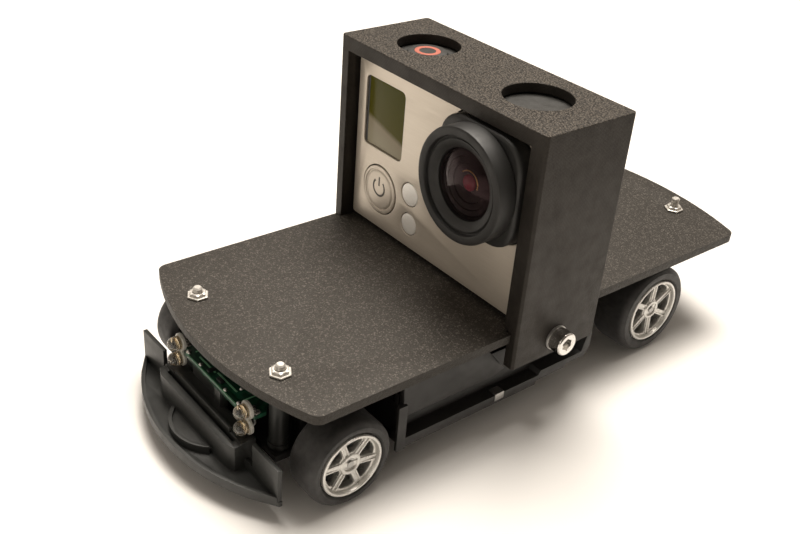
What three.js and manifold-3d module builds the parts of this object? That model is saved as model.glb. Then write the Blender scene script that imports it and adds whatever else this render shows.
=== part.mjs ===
// A small radio-controlled car carrying an action camera in a cage.
// Millimetres, +Z up. The car's front faces -Y and its left side is +X.
// The origin is on the ground, under the middle of the whole object.

import * as THREE from 'three';
import { mergeVertices } from 'three/addons/utils/BufferGeometryUtils.js';
import Module from 'manifold-3d';

// ---------------------------------------------------------------- driving dimensions

const FRONT_AXLE_Y = -50.65;
const REAR_AXLE_Y = 42.15;
const FIT = 0.3;                 // gap between a piece and the hole or neighbour that holds it
const SEAT = 0.1;                // gap between two flat faces that rest on each other

const DECK = { top: 25.3, thick: 2.1, frontTip: -65.65, rearTip: 74.45, stepY: -10.55,
  frontHalf: 31.1, rearHalf: 29.4, frontRadius: 75, rearRadius: 84, corner: 2.5 };
const DECK_BOTTOM = DECK.top - DECK.thick;

const CAGE = { half: 32.65, wall: 2.75, front: -10.25, back: 14.95, top: 70.55, roof: 2.2,
  bottom: 16.8, lipDepth: 2.8, lipBottom: 67.2, sideLip: 1.3,
  chamfer: 0.5, backLip: 1.6, backLipY: 14 };
const CAGE_INNER = CAGE.half - CAGE.wall;
const FINGER_HOLES = [{ x: -17.5, y: 2.75, r: 7.2 }, { x: 16.9, y: 2.85, r: 7.5 }];
const CAGE_SCREW = { y: 2.05, z: 21, shank: 1.3, headR: 2.73, headIn: 33.2, headOut: 36.3,
  tip: 24.2, socketR: 1.45, socket: 1.6 };
const CROSS_BAR_R = 2.1;

const CAMERA = { half: 29.5, front: -6.35, back: 13.75, bottom: 25.6, top: 68, corner: 2.2 };
const FACE = { front: -7.25, back: -6.45, half: 29.1, bottom: 26.2, top: 67.3, corner: 2.4 };
const LENS = { x: 15.5, z: 54.3, base: 12.2, baseCorner: 7.5, baseFront: -11, ringR: 12.4, ringIn: 8.8, front: -15.75,
  glassEdge: 0.8, glassRise: 2.4 };
const SCREEN = { x0: -26.2, x1: -12.5, z0: 46, z1: 62.4, corner: 1.4, gap: 0.15, sunk: 0.1 };
const STATUS_WINDOWS = [{ name: 'upper', x: -8.4, z: 39.5, r: 2.75 }, { name: 'lower', x: -8.0, z: 32.1, r: 2.6 }];
const WINDOW_GAP = 0.2;
const WINDOW_PROUD = -0.05;
const MODE_BUTTON = { x: -19.25, z: 36.1, r: 5.9, front: -7.5, back: -6.6, pocket: 1.1 };
const SHUTTER = { x: -18.3, y: 3.2, r: 4.6, top: 68.8, bottom: 67.1, pocket: 1.7 };

const FRONT_WHEEL = { y: FRONT_AXLE_Y, tyreR: 9.8, rimR: 7.1, width: 8.6, face: 31.6 };
const REAR_WHEEL = { y: REAR_AXLE_Y, tyreR: 11.3, rimR: 8.1, width: 10.4, face: 29.2 };
const SPOKES = 6;
const TYRE = { gap: 0.15, shoulder: 1.2 };
const RIM = { wall: 0.75, lip: 0.6, lipDepth: 1, proud: 0.1, back: 0.4, hubR: 2.1, hubLength: 4.5, hubIn: 0.5,
  spokeFront: 1, spokeBack: 2.3, rootR: 1.4, rootHalf: 1.15, tipHalf: 0.75, tipSunk: 0.3, capBehind: 1.1 };
const AXLE_R = 1;
const KINGPIN = { x: 20, r: 1, bottom: 6.3, top: 19.4, headR: 1.7, headBottom: 18.5 };
const STEER_ARM = 6;             // from the kingpin back to the tie rod pin
const KNUCKLE = { r: 2.5, top: 16.6, gap: 0.25, axleShort: 1.8, bossR: 1.9, boss: 3.6, armHalf: 0.9, armBottom: 10.6,
  armTop: 12.1, eyeR: 1.2, pinR: 0.7, pinBottom: 11.5, pinTop: 14.6 };
const TIE_ROD = { bottom: 12.5, top: 13.9, end: 19, front: 1.55, back: 0.15, eyeR: 2, hole: 1.15,
  padStart: 18, padBack: 1, slotHalf: 1, slotTop: 15.4, yokeHalf: 3.2, yokeTop: 16.5 };
const HORN = { arm: 3.9, z: 10.4, front: 0.3, back: 1.5, hubR: 2.2, armHalf: 1.1, pinR: 0.7, pinLength: 1.6, bore: 1.5,
  floor: 0.1 };
const SERVO = { half: 10, front: 1.85, rear: -36.8, top: 16.6, shaftR: 1.2, shaftFront: 0.6, shaftBack: 3 };
const UPPER_ARM = { bottom: 17, top: 18.4, half: 18, front: -54, rear: -48 };

const FLOOR = { bottom: 7.2, top: 7.9, half: 30.4, front: -37.5, rear: 17.75, frontEnd: 0.5 };
const NOSE = { half: 18.9, front: -60.2, rear: -36, bottom: 6.1, top: 7.6 };
const CELL = { r: 5.25, length: 44.5, xs: [9.3, 20.1], z: 13.4, front: -34.9, shoulder: 0.8, tipR: 1.9, tipGap: 0.1 };
const RECEIVER = { half: 21, front: -33, rear: -5, bottom: 19.2, top: 20.2, sunk: 0.2,
  chips: [[-6, 6, -26, -16, 21.6], [10, 17, -30, -22, 21.4], [-18, -12, -14, -8, 22.2]] };
const SWITCH = { x0: 8.8, x1: 16.2, y0: 11.4, y1: 15.2, sliderX: 9.3, sliderLength: 3.4, sliderY: 11.8,
  sliderWidth: 3, lift: 0.3, thick: 1.1, knobX: 10.2, knobY: 12.5, knob: 1.6, knobBelow: 0.6 };
const TUB = { half: 27.2, wall: 1.2, endWall: 1.1, top: 18.3, frontTop: 15.6, rearTop: 15.3,
  spineHalf: 3.5, frontGap: 0.5, rearGap: 0.8, strapYs: [-9, -30], strapHalf: 2, strap: 1, strapProud: 0.6 };
const STRIP = { width: 3.6, top: 9.4, raisedTop: 10.5, hook: 1.2,
  underside: [[0.55, 7.2], [0.95, 8.2], [9.75, 8.2], [10.3, 9], [16.25, 9], [17.75, 11.1]],
  topStep: [[15.15, 10.5], [2, 10.5], [1.4, 9.4]] };
const UPRIGHT = { proud: 0.4, thick: 0.7, front: -39.2, rear: -37, top: 18.3 };
const SKIRT = { inner: 28.3, outer: 29.6, front: -37.25, bottom: 14.3, slopeFoot: -12.4, tipY: -9.25, tipZ: 15.3,
  topEnd: -15.4, gap: 0.4, tabYs: [-31, -20], tabLength: 3, tabTop: 17, tabInner: 27.4, tabOuter: 28.8 };
const ARM_MOUNT = { x: 14.2, r: 1.9 };
const PIN_BOSS = { r: 2.6, inner: 15, half: 2.4 };
const FRONT_POST = { x: 16.05, y: -57.45, r: 2.4, bottom: NOSE.top + SEAT, proud: 2.3 };
const REAR_POST = { x: 12.6, y: 66.1, r: 2.4, bottom: 17, proud: 3.4 };
const STUD_R = 1;
const NUT = { flats: 4, height: 1.6, flangeR: 2.48, flange: 0.4 };

const GEAR = { dedendum: 1.2, addendum: 0.8, rootHalf: 1.45, tipHalf: 0.45, backlash: 0.92 };
const SPUR = { teeth: 36, module: 0.5, x0: 15.2, x1: 18 };
const PINION = { teeth: 10, module: 0.5, x0: 14.9, x1: 18.4 };
const MOTOR = { y: REAR_AXLE_Y - 11.456, z: REAR_WHEEL.tyreR + 1, r: 10.05, flat: 7.5, half: 12.2, noseR: 3, nose: 14,
  shaftR: 0.8, shaftTip: 18.6, axleGap: 2 };
const POD = { inner: 12.6, outer: 14.2, front: 18.1, rear: 46.7, top: 16.5, bottom: 5.2, frontWall: 1.5, rearWall: 1.6,
  rearBottom: 8, bearingR: 3.6, axleGap: 0.35, motorHole: 3.4 };
const REAR_FRAME = { bottom: 14.7, top: 16.9, overhang: 3, crossFront: 63, crossRear: 68.6, armIn: 10.4, armOut: 14,
  front: 47, footRear: 48.9, footBottom: 9, armRear: 66 };
const AXLE = { short: 2.2, collarR: 2, collarIn: 14.6, collarOut: 15 };

const BUMPER = { bottom: 3.8, lipTop: 4.9, rimTop: 6, rimWall: 0.9, radius: 45, tip: -74.45, half: 27.7, back: -64.2,
  cornerX: 22.4, cornerY: -64.9, cornerShift: 0.7, rimEnd: -65.2 };
const SCOOP = { x: 0.5, y: -62.5, outer: 10.2, inner: 9.4, start: 1.22, end: 1.78, bottom: 4.4, top: 6.7 };
const BEAM = { half: 15.5, bevel: 13, front: -68.3, shoulder: -67.4, rear: -62.6, bottom: 4.6, floor: 7.2, top: 10.8,
  trayFront: -66.7, backFront: -66, backTop: 11.2, stepHalf: 11.2, stepTop: 12.2, stepThick: 0.6, endIn: 13.4 };
const TAB = { left: -13.1, notch: -10.8, middle: -9.5, right: 3.4, rightIn: 1.2, front: -62.9, back: -61.8, thick: 1,
  low: 11, top: 15.2, forward: -63.6 };
const FOOT = { half: 13, front: -62.8, rear: -52, bottom: 4.9 };
const FIN = { inner: 18.2, outer: 27.5, bottom: 4.2, top: 12.6, thick: 0.9, rootInner: 14, rootOuter: 19, rootTop: 7 };
const LED = { x: 13.45, zs: [17.2, 13.3], r: 1.5, flange: 1.9, rim: 0.7, tip: -66.3, base: -62.95 };
const LIGHT_BOARD = { half: 15.2, front: -62.65, back: -55.4, z0: 15.5, z1: 16.4 };

// ---------------------------------------------------------------- solids

const wasm = await Module();
wasm.setup();

function solid(geometry) {
  const bare = new THREE.BufferGeometry();
  bare.setAttribute('position', geometry.getAttribute('position'));
  bare.setIndex(geometry.getIndex());
  const merged = mergeVertices(bare, 1e-4);
  return new wasm.Manifold(new wasm.Mesh({
    numProp: 3,
    vertProperties: new Float32Array(merged.getAttribute('position').array),
    triVerts: new Uint32Array(merged.getIndex().array),
  }));
}

function geometryOf(body) {
  const mesh = body.getMesh();
  const geometry = new THREE.BufferGeometry();
  geometry.setAttribute('position', new THREE.BufferAttribute(new Float32Array(mesh.vertProperties), 3));
  geometry.setIndex(new THREE.BufferAttribute(new Uint32Array(mesh.triVerts), 1));
  geometry.computeVertexNormals();
  return geometry;
}

function join(...bodies) {
  return bodies.reduce((sum, body) => sum.add(body));
}

function cut(body, ...tools) {
  return tools.reduce((rest, tool) => rest.subtract(tool), body);
}

function box(x0, x1, y0, y1, z0, z1) {
  const geometry = new THREE.BoxGeometry(Math.abs(x1 - x0), Math.abs(y1 - y0), Math.abs(z1 - z0));
  return solid(geometry.translate((x0 + x1) / 2, (y0 + y1) / 2, (z0 + z1) / 2));
}

// A round bar of radius r from a to b along an axis; u and v are the other two coordinates in order.
function bar(axis, r, a, b, u, v, sides = 16) {
  const geometry = new THREE.CylinderGeometry(r, r, Math.abs(b - a), sides);
  const middle = (a + b) / 2;
  if (axis === 'x') {
    geometry.rotateZ(Math.PI / 2).translate(middle, u, v);
  } else if (axis === 'y') {
    geometry.translate(u, middle, v);
  } else {
    geometry.rotateX(Math.PI / 2).translate(u, v, middle);
  }
  return solid(geometry);
}

// A flat outline in x and y, raised from z0 to z1.
function slab(shape, z0, z1, curveSegments = 6) {
  const geometry = new THREE.ExtrudeGeometry(shape, { depth: z1 - z0, bevelEnabled: false, curveSegments });
  return solid(geometry.translate(0, 0, z0));
}

// An outline in x and z, thickened from y0 to y1.
function panel(shape, y0, y1, curveSegments = 6) {
  const geometry = new THREE.ExtrudeGeometry(shape, { depth: y1 - y0, bevelEnabled: false, curveSegments });
  return solid(geometry.rotateX(Math.PI / 2).translate(0, y1, 0));
}

// An outline in y and z, thickened from x0 to x1.
function cheek(shape, x0, x1, curveSegments = 6) {
  const geometry = new THREE.ExtrudeGeometry(shape, { depth: x1 - x0, bevelEnabled: false, curveSegments });
  return solid(geometry.rotateX(Math.PI / 2).rotateZ(Math.PI / 2).translate(x0, 0, 0));
}

// A ring or disc turned about the X axis from (radius, x) points.
function turned(points, segments = 30) {
  const profile = points.map(([r, x]) => new THREE.Vector2(r, x));
  if (points[0][0] > 0) {
    profile.push(profile[0].clone());
  }
  return solid(new THREE.LatheGeometry(profile, segments).rotateZ(-Math.PI / 2));
}

function polygon(points) {
  return new THREE.Shape(points.map(([x, y]) => new THREE.Vector2(x, y)));
}

function roundedRect(x0, x1, y0, y1, r) {
  const shape = new THREE.Shape();
  shape.absarc(x1 - r, y1 - r, r, 0, Math.PI / 2);
  shape.absarc(x0 + r, y1 - r, r, Math.PI / 2, Math.PI);
  shape.absarc(x0 + r, y0 + r, r, Math.PI, 1.5 * Math.PI);
  shape.absarc(x1 - r, y0 + r, r, 1.5 * Math.PI, 2 * Math.PI);
  shape.closePath();
  return shape;
}

function move(body, x, y, z) {
  return body.translate([x, y, z]);
}

function spunAboutX(body, angle) {
  return body.rotate([angle * 180 / Math.PI, 0, 0]);
}

// ---------------------------------------------------------------- the model

const car = new THREE.Group();

function add(name, body, colour, roughness, metalness, parent = car) {
  const material = new THREE.MeshStandardMaterial({ color: colour, roughness, metalness });
  const mesh = new THREE.Mesh(geometryOf(body), material);
  mesh.name = name;
  parent.add(mesh);
  return mesh;
}

const MOULDED = [0x242423, 0.6, 0];
const STEEL = [0xbdbab3, 0.3, 0.9];
const SILVER = [0xb8b6b2, 0.35, 0.7];
const RUBBER = [0x191919, 0.9, 0];

// ---------------------------------------------------------------- deck and its posts

// Half of one bowed end of the deck: a corner arc and the long arc across the tip.
function bowedEnd(shape, half, tipY, radius, corner, way) {
  const centreY = tipY - way * radius;
  const reach = radius - corner;
  const lean = Math.asin((half - corner) / reach);
  const cornerY = centreY + way * reach * Math.cos(lean);
  const swing = Math.PI / 2 - lean;
  if (way > 0) {
    shape.absarc(half - corner, cornerY, corner, 0, swing);
    shape.absarc(0, centreY, radius, swing, Math.PI - swing);
    shape.absarc(-half + corner, cornerY, corner, Math.PI - swing, Math.PI);
  } else {
    shape.absarc(-half + corner, cornerY, corner, Math.PI, Math.PI + swing);
    shape.absarc(0, centreY, radius, Math.PI + swing, 2 * Math.PI - swing);
    shape.absarc(half - corner, cornerY, corner, 2 * Math.PI - swing, 2 * Math.PI);
  }
}

function deck() {
  const shape = new THREE.Shape();
  shape.moveTo(DECK.frontHalf, DECK.stepY);
  shape.lineTo(DECK.rearHalf, DECK.stepY);
  bowedEnd(shape, DECK.rearHalf, DECK.rearTip, DECK.rearRadius, DECK.corner, 1);
  shape.lineTo(-DECK.rearHalf, DECK.stepY);
  shape.lineTo(-DECK.frontHalf, DECK.stepY);
  bowedEnd(shape, DECK.frontHalf, DECK.frontTip, DECK.frontRadius, DECK.corner, -1);
  shape.closePath();
  const holes = [FRONT_POST, REAR_POST].flatMap((post) => [1, -1].map((side) =>
    bar('z', STUD_R + FIT, DECK_BOTTOM - 1, DECK.top + 1, side * post.x, post.y, 12)));
  return cut(slab(shape, DECK_BOTTOM, DECK.top, 8), ...holes);
}

function deckPost(side, { x, y, r, bottom, proud }) {
  return join(
    bar('z', r, bottom, DECK_BOTTOM - SEAT, side * x, y, 14),
    bar('z', STUD_R, bottom + 1, DECK.top + proud, side * x, y, 10),
  );
}

function deckNut(x, y) {
  const across = NUT.flats / Math.sqrt(3);
  const z0 = DECK.top + SEAT;
  return cut(
    join(
      bar('z', across, z0, z0 + NUT.height, x, y, 6),
      bar('z', NUT.flangeR, z0, z0 + NUT.flange, x, y, 14),
    ),
    bar('z', STUD_R + FIT, z0 - 1, z0 + NUT.height + 1, x, y, 10),
  );
}

add('deck', deck(), 0x1c1b1a, 0.8, 0);
for (const [end, post] of [['front', FRONT_POST], ['rear', REAR_POST]]) {
  for (const [label, side] of [['left', 1], ['right', -1]]) {
    add(`${end}_${label}_deck_post`, deckPost(side, post), ...MOULDED);
    add(`${end}_${label}_deck_nut`, deckNut(side * post.x, post.y), ...STEEL);
  }
}

// ---------------------------------------------------------------- chassis tub

function batteryWalls() {
  const front = CELL.front - TUB.frontGap - TUB.endWall;
  const across = (y, thick, top) => box(-TUB.half, TUB.half, y, y + thick, FLOOR.bottom, top);
  const walls = [
    box(-TUB.spineHalf, TUB.spineHalf, front, FLOOR.rear - 1, FLOOR.bottom, TUB.top),
    across(front, TUB.endWall, TUB.frontTop),
    across(CELL.front + CELL.length + TUB.rearGap, TUB.endWall, TUB.top),
    across(FLOOR.rear - TUB.wall, TUB.wall, TUB.rearTop),
  ];
  for (const side of [1, -1]) {
    walls.push(box(side * (TUB.half - TUB.wall), side * TUB.half, front, FLOOR.rear, FLOOR.bottom, TUB.top));
  }
  for (const y of TUB.strapYs) {
    walls.push(box(-TUB.strapHalf, TUB.strapHalf, y, y + TUB.strap, TUB.top - 1, TUB.top + TUB.strapProud));
  }
  return join(...walls);
}

// The outer edge of the tub: a flat strip that steps up towards the rear wheel and ends in an upright hook.
function floorStrip(side) {
  const outline = polygon([
    [FLOOR.front, FLOOR.bottom], ...STRIP.underside,
    [FLOOR.rear, TUB.rearTop], [FLOOR.rear - STRIP.hook, TUB.rearTop],
    ...STRIP.topStep, [FLOOR.front, STRIP.top],
  ]);
  const outer = side * FLOOR.half;
  const inner = side * (FLOOR.half - STRIP.width);
  return cheek(outline, Math.min(outer, inner), Math.max(outer, inner));
}

// The two round ends of a flat arm, with the flat pieces that reach in from them.
function pinBosses(z0, z1) {
  return [1, -1].flatMap((side) => [
    bar('z', PIN_BOSS.r, z0, z1, side * KINGPIN.x, FRONT_AXLE_Y),
    box(side * PIN_BOSS.inner, side * KINGPIN.x, FRONT_AXLE_Y - PIN_BOSS.half, FRONT_AXLE_Y + PIN_BOSS.half, z0, z1),
  ]);
}

function mainChassis() {
  const pieces = [
    box(-FLOOR.half + 1, FLOOR.half - 1, FLOOR.front, FLOOR.frontEnd, FLOOR.bottom, FLOOR.top),
    box(-TUB.half, TUB.half, 0, FLOOR.rear, FLOOR.bottom, FLOOR.top),
    box(-NOSE.half, NOSE.half, NOSE.front, NOSE.rear, NOSE.bottom, NOSE.top),
    batteryWalls(),
    ...pinBosses(NOSE.bottom, NOSE.top),
  ];
  for (const side of [1, -1]) {
    const face = FLOOR.half + UPRIGHT.proud;
    pieces.push(floorStrip(side));
    pieces.push(box(side * face, side * (face - UPRIGHT.thick), UPRIGHT.front, UPRIGHT.rear,
      FLOOR.bottom, UPRIGHT.top));
    pieces.push(bar('z', ARM_MOUNT.r, NOSE.bottom, UPPER_ARM.bottom - SEAT, side * ARM_MOUNT.x, FRONT_AXLE_Y, 12));
  }
  const pinHoles = [1, -1].map((side) =>
    bar('z', KINGPIN.r + FIT, NOSE.bottom - 1, NOSE.top + 1, side * KINGPIN.x, FRONT_AXLE_Y, 12));
  const switchSlot = box(SWITCH.x0, SWITCH.x1, SWITCH.y0, SWITCH.y1, FLOOR.bottom - 1, FLOOR.top + 1);
  return cut(join(...pieces), ...pinHoles, switchSlot);
}

// A side skirt under the deck, with a slanted rear end and two tabs against the tub wall.
function sideSkirt(side) {
  const top = DECK_BOTTOM - SKIRT.gap;
  const outline = polygon([
    [SKIRT.front, SKIRT.bottom], [SKIRT.slopeFoot, SKIRT.bottom], [SKIRT.tipY, SKIRT.tipZ],
    [SKIRT.topEnd, top], [SKIRT.front, top],
  ]);
  const outer = side * SKIRT.outer;
  const inner = side * SKIRT.inner;
  const tabs = SKIRT.tabYs.map((y) => box(side * SKIRT.tabInner, side * SKIRT.tabOuter,
    y, y + SKIRT.tabLength, SKIRT.bottom, SKIRT.tabTop));
  return join(cheek(outline, Math.min(outer, inner), Math.max(outer, inner)), ...tabs);
}

// A round dry cell with its raised positive end.
function cell(x, way) {
  const half = CELL.length / 2;
  const middle = CELL.front + half;
  return join(
    bar('y', CELL.r, middle - half + CELL.shoulder, middle + half - CELL.shoulder, x, CELL.z, 14),
    bar('y', CELL.tipR, middle, middle + way * (half - CELL.tipGap), x, CELL.z, 8),
  );
}

function receiverBoard() {
  const { half, front, rear, bottom, top, sunk, chips } = RECEIVER;
  return join(
    box(-half, half, front, rear, bottom, top),
    ...chips.map(([x0, x1, y0, y1, z1]) => box(x0, x1, y0, y1, top - sunk, z1)),
  );
}

// A flat slider over the slot, with a knob through it.
function powerSwitch() {
  const { sliderX, sliderY, lift, thick, knobX, knobY, knob } = SWITCH;
  return join(
    box(sliderX, sliderX + SWITCH.sliderLength, sliderY, sliderY + SWITCH.sliderWidth,
      FLOOR.top + lift, FLOOR.top + lift + thick),
    box(knobX, knobX + knob, knobY, knobY + knob, FLOOR.bottom - SWITCH.knobBelow, FLOOR.top + 1),
  );
}

add('main_chassis', mainChassis(), ...MOULDED);
add('left_side_skirt', sideSkirt(1), ...MOULDED);
add('right_side_skirt', sideSkirt(-1), ...MOULDED);
for (const [label, side] of [['left', 1], ['right', -1]]) {
  CELL.xs.forEach((x, i) => {
    const place = i === 0 ? 'inner' : 'outer';
    add(`${label}_${place}_cell`, cell(side * x, i === 0 ? 1 : -1), 0x3f5c7a, 0.4, 0.3);
  });
}
add('receiver_board', receiverBoard(), 0x1d5a3a, 0.5, 0);
add('power_switch', powerSwitch(), 0x101010, 0.5, 0);

// ---------------------------------------------------------------- front bumper and lights

function bumperLip(z0, z1, inset) {
  const radius = BUMPER.radius - inset;
  const swing = Math.asin((BUMPER.cornerX - inset * BUMPER.cornerShift) / radius);
  const end = BUMPER.half - inset;
  const shape = new THREE.Shape();
  shape.moveTo(end, BUMPER.back);
  shape.lineTo(-end, BUMPER.back);
  shape.lineTo(-end, BUMPER.cornerY);
  shape.absarc(0, BUMPER.tip + BUMPER.radius, radius, 1.5 * Math.PI - swing, 1.5 * Math.PI + swing);
  shape.lineTo(end, BUMPER.cornerY);
  shape.closePath();
  return slab(shape, z0, z1, 18);
}

// A shallow half ring that stands on the lip in front of the beam.
function scoop() {
  const { x, y, outer, inner, start, end, bottom, top } = SCOOP;
  const shape = new THREE.Shape();
  shape.absarc(x, y, outer, Math.PI * start, Math.PI * end);
  shape.absarc(x, y, inner, Math.PI * end, Math.PI * start, true);
  shape.closePath();
  return slab(shape, bottom, top, 8);
}

// The tray across the bumper, open to the front above its floor, with a back wall and two ends.
function bumperBeam() {
  const { half, bevel, front, shoulder, rear, floor, top, backFront, endIn } = BEAM;
  const outline = polygon([
    [-half, shoulder], [-bevel, front], [bevel, front], [half, shoulder], [half, rear], [-half, rear],
  ]);
  return [
    slab(outline, BEAM.bottom, floor),
    cut(slab(outline, floor - 0.2, top), box(-half - 1, half + 1, BEAM.trayFront, rear + 1, floor - 1, top + 1)),
    box(-half, half, backFront, rear, floor - 0.2, BEAM.backTop),
    box(-BEAM.stepHalf, BEAM.stepHalf, backFront, backFront + BEAM.stepThick, BEAM.backTop - 0.2, BEAM.stepTop),
    box(-half, -endIn, shoulder, rear, floor - 0.2, top),
    box(endIn, half, shoulder, rear, floor - 0.2, top),
  ];
}

// The upright tabs behind the beam that carry the light board.
function lightTabs() {
  const { left, notch, middle, right, rightIn, front, back, thick, low, top, forward } = TAB;
  const foot = BEAM.floor - 0.2;
  return [
    box(middle, right, back - 0.9, back, foot, top),
    box(left, notch, front, front + thick, foot, low),
    box(left, notch, front + thick, front + 2 * thick, foot, top),
    box(rightIn, right, forward, back, foot, top),
  ];
}

function frontBumper() {
  const wide = BUMPER.half + 1;
  const rimBottom = BUMPER.lipTop - 0.5;
  const pieces = [
    bumperLip(BUMPER.bottom, BUMPER.lipTop, 0),
    cut(bumperLip(rimBottom, BUMPER.rimTop, 0), bumperLip(rimBottom - 1, BUMPER.rimTop + 1, BUMPER.rimWall),
      box(-wide, wide, BUMPER.rimEnd, BUMPER.back + 1, rimBottom - 1, BUMPER.rimTop + 1)),
    scoop(), ...bumperBeam(), ...lightTabs(),
    box(-FOOT.half, FOOT.half, FOOT.front, FOOT.rear, FOOT.bottom, NOSE.bottom - SEAT),
  ];
  for (const side of [1, -1]) {
    const front = BUMPER.back - FIN.thick;
    pieces.push(box(side * FIN.inner, side * FIN.outer, front, BUMPER.back, FIN.bottom, FIN.top));
    pieces.push(box(side * FIN.rootInner, side * FIN.rootOuter, front, BUMPER.back, FIN.bottom, FIN.rootTop));
  }
  return join(...pieces);
}

// A clear lamp with a domed nose, a flange at its foot and its axis along Y.
function led(x, z) {
  const nose = LED.tip + LED.r;
  const rim = LED.base - LED.rim;
  const profile = [[0, LED.base], [LED.flange, LED.base], [LED.flange, rim], [LED.r, rim]];
  for (let step = 0; step <= 3; step += 1) {
    const angle = step / 3 * Math.PI / 2;
    profile.push([LED.r * Math.cos(angle), nose - LED.r * Math.sin(angle)]);
  }
  const last = profile[profile.length - 1];
  last[0] = 0;
  const points = profile.map(([r, y]) => new THREE.Vector2(r, -y));
  return move(solid(new THREE.LatheGeometry(points, 12).rotateX(Math.PI)), x, 0, z);
}

function lightBoard() {
  const plate = box(-LIGHT_BOARD.half, LIGHT_BOARD.half, LIGHT_BOARD.front, LIGHT_BOARD.back,
    LIGHT_BOARD.z0, LIGHT_BOARD.z1);
  const notches = [1, -1].map((side) => bar('z', FRONT_POST.r + FIT, LIGHT_BOARD.z0 - 1, LIGHT_BOARD.z1 + 1,
    side * FRONT_POST.x, FRONT_POST.y, 14));
  return cut(plate, ...notches);
}

add('front_bumper', frontBumper(), ...MOULDED);
add('light_board', lightBoard(), 0x1f5c3c, 0.45, 0);
for (const [label, side] of [['left', 1], ['right', -1]]) {
  LED.zs.forEach((z, i) => {
    add(`${label}_${i === 0 ? 'upper' : 'lower'}_lamp`, led(side * LED.x, z), 0xd8d4c4, 0.1, 0);
  });
}

// ---------------------------------------------------------------- camera cage and its screws

function cameraCage() {
  const { half, front, back, top, bottom, chamfer, backLip, backLipY } = CAGE;
  const roofInside = top - CAGE.roof;
  const outline = polygon([
    [half, front + chamfer], [half, back - chamfer], [half - chamfer, back], [-half + chamfer, back],
    [-half, back - chamfer], [-half, front + chamfer], [-half + chamfer, front], [half - chamfer, front],
  ]);
  const lipBack = front + CAGE.lipDepth;
  const inside = join(
    box(-CAGE_INNER, CAGE_INNER, lipBack, backLipY, bottom - 1, roofInside),
    box(-CAGE_INNER, CAGE_INNER - CAGE.sideLip, front - 1, lipBack + 1, bottom - 1, CAGE.lipBottom),
    box(-CAGE_INNER + backLip, CAGE_INNER - backLip, backLipY - 1, back + 1, bottom - 1, roofInside - backLip),
    box(-CAGE_INNER, CAGE_INNER, front - 1, back + 1, bottom - 1, DECK.top + FIT),
  );
  const fingerHoles = FINGER_HOLES.map((hole) => bar('z', hole.r, roofInside - 1, top + 1, hole.x, hole.y, 32));
  const screwHoles = bar('x', CAGE_SCREW.shank + FIT, -half - 1, half + 1, CAGE_SCREW.y, CAGE_SCREW.z, 14);
  return cut(slab(outline, bottom, top), inside, ...fingerHoles, screwHoles);
}

// A socket-head cap screw lying along X, head outwards.
function cageScrew(side) {
  const { y, z, shank, headR, headIn, headOut, tip, socketR, socket } = CAGE_SCREW;
  return cut(
    join(
      bar('x', headR, side * headIn, side * headOut, y, z, 20),
      bar('x', shank, side * tip, side * (headIn + 1), y, z, 10),
    ),
    bar('x', socketR, side * (headOut - socket), side * (headOut + 1), y, z, 6),
  );
}

function crossBar() {
  const { y, z } = CAGE_SCREW;
  const end = CAGE_INNER - FIT;
  const bores = [1, -1].map((side) =>
    bar('x', CAGE_SCREW.shank + FIT, side * (CAGE_SCREW.tip - 1), side * (end + 1), y, z, 12));
  return cut(bar('x', CROSS_BAR_R, -end, end, y, z, 16), ...bores);
}

add('camera_cage', cameraCage(), 0x1a1a1a, 0.7, 0);
add('left_cage_screw', cageScrew(1), ...STEEL);
add('right_cage_screw', cageScrew(-1), ...STEEL);
add('cross_bar', crossBar(), 0x9a9a98, 0.4, 0.8);

// ---------------------------------------------------------------- camera

function cameraBody() {
  const { half, front, back, bottom, top, corner } = CAMERA;
  const block = panel(roundedRect(-half, half, bottom, top, corner), front, back, 4);
  const modePocket = bar('y', MODE_BUTTON.r + FIT, front - 1, front + MODE_BUTTON.pocket,
    MODE_BUTTON.x, MODE_BUTTON.z, 20);
  const shutterPocket = bar('z', SHUTTER.r + FIT, top - SHUTTER.pocket, top + 1, SHUTTER.x, SHUTTER.y, 20);
  return cut(block, modePocket, shutterPocket);
}

function screenShape(grow) {
  return roundedRect(SCREEN.x0 - grow, SCREEN.x1 + grow, SCREEN.z0 - grow, SCREEN.z1 + grow, SCREEN.corner + grow);
}

function lensBaseShape(grow) {
  const half = LENS.base + grow;
  return roundedRect(LENS.x - half, LENS.x + half, LENS.z - half, LENS.z + half, LENS.baseCorner + grow);
}

function cameraFace() {
  const plate = panel(roundedRect(-FACE.half, FACE.half, FACE.bottom, FACE.top, FACE.corner),
    FACE.front, FACE.back, 4);
  const openings = [
    panel(screenShape(SCREEN.gap), FACE.front - 1, FACE.back + 1, 3),
    panel(lensBaseShape(FIT), FACE.front - 1, FACE.back + 1, 6),
    bar('y', MODE_BUTTON.r + FIT, FACE.front - 1, FACE.back + 1, MODE_BUTTON.x, MODE_BUTTON.z, 28),
    ...STATUS_WINDOWS.map((window) =>
      bar('y', window.r + WINDOW_GAP, FACE.front - 1, FACE.back + 1, window.x, window.z, 16)),
  ];
  return cut(plate, ...openings);
}

function lensRing() {
  const ring = bar('y', LENS.ringR, LENS.front, LENS.baseFront - SEAT, LENS.x, LENS.z, 36);
  return cut(ring, bar('y', LENS.ringIn, LENS.front - 1, LENS.baseFront + 1, LENS.x, LENS.z, 30));
}

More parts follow.
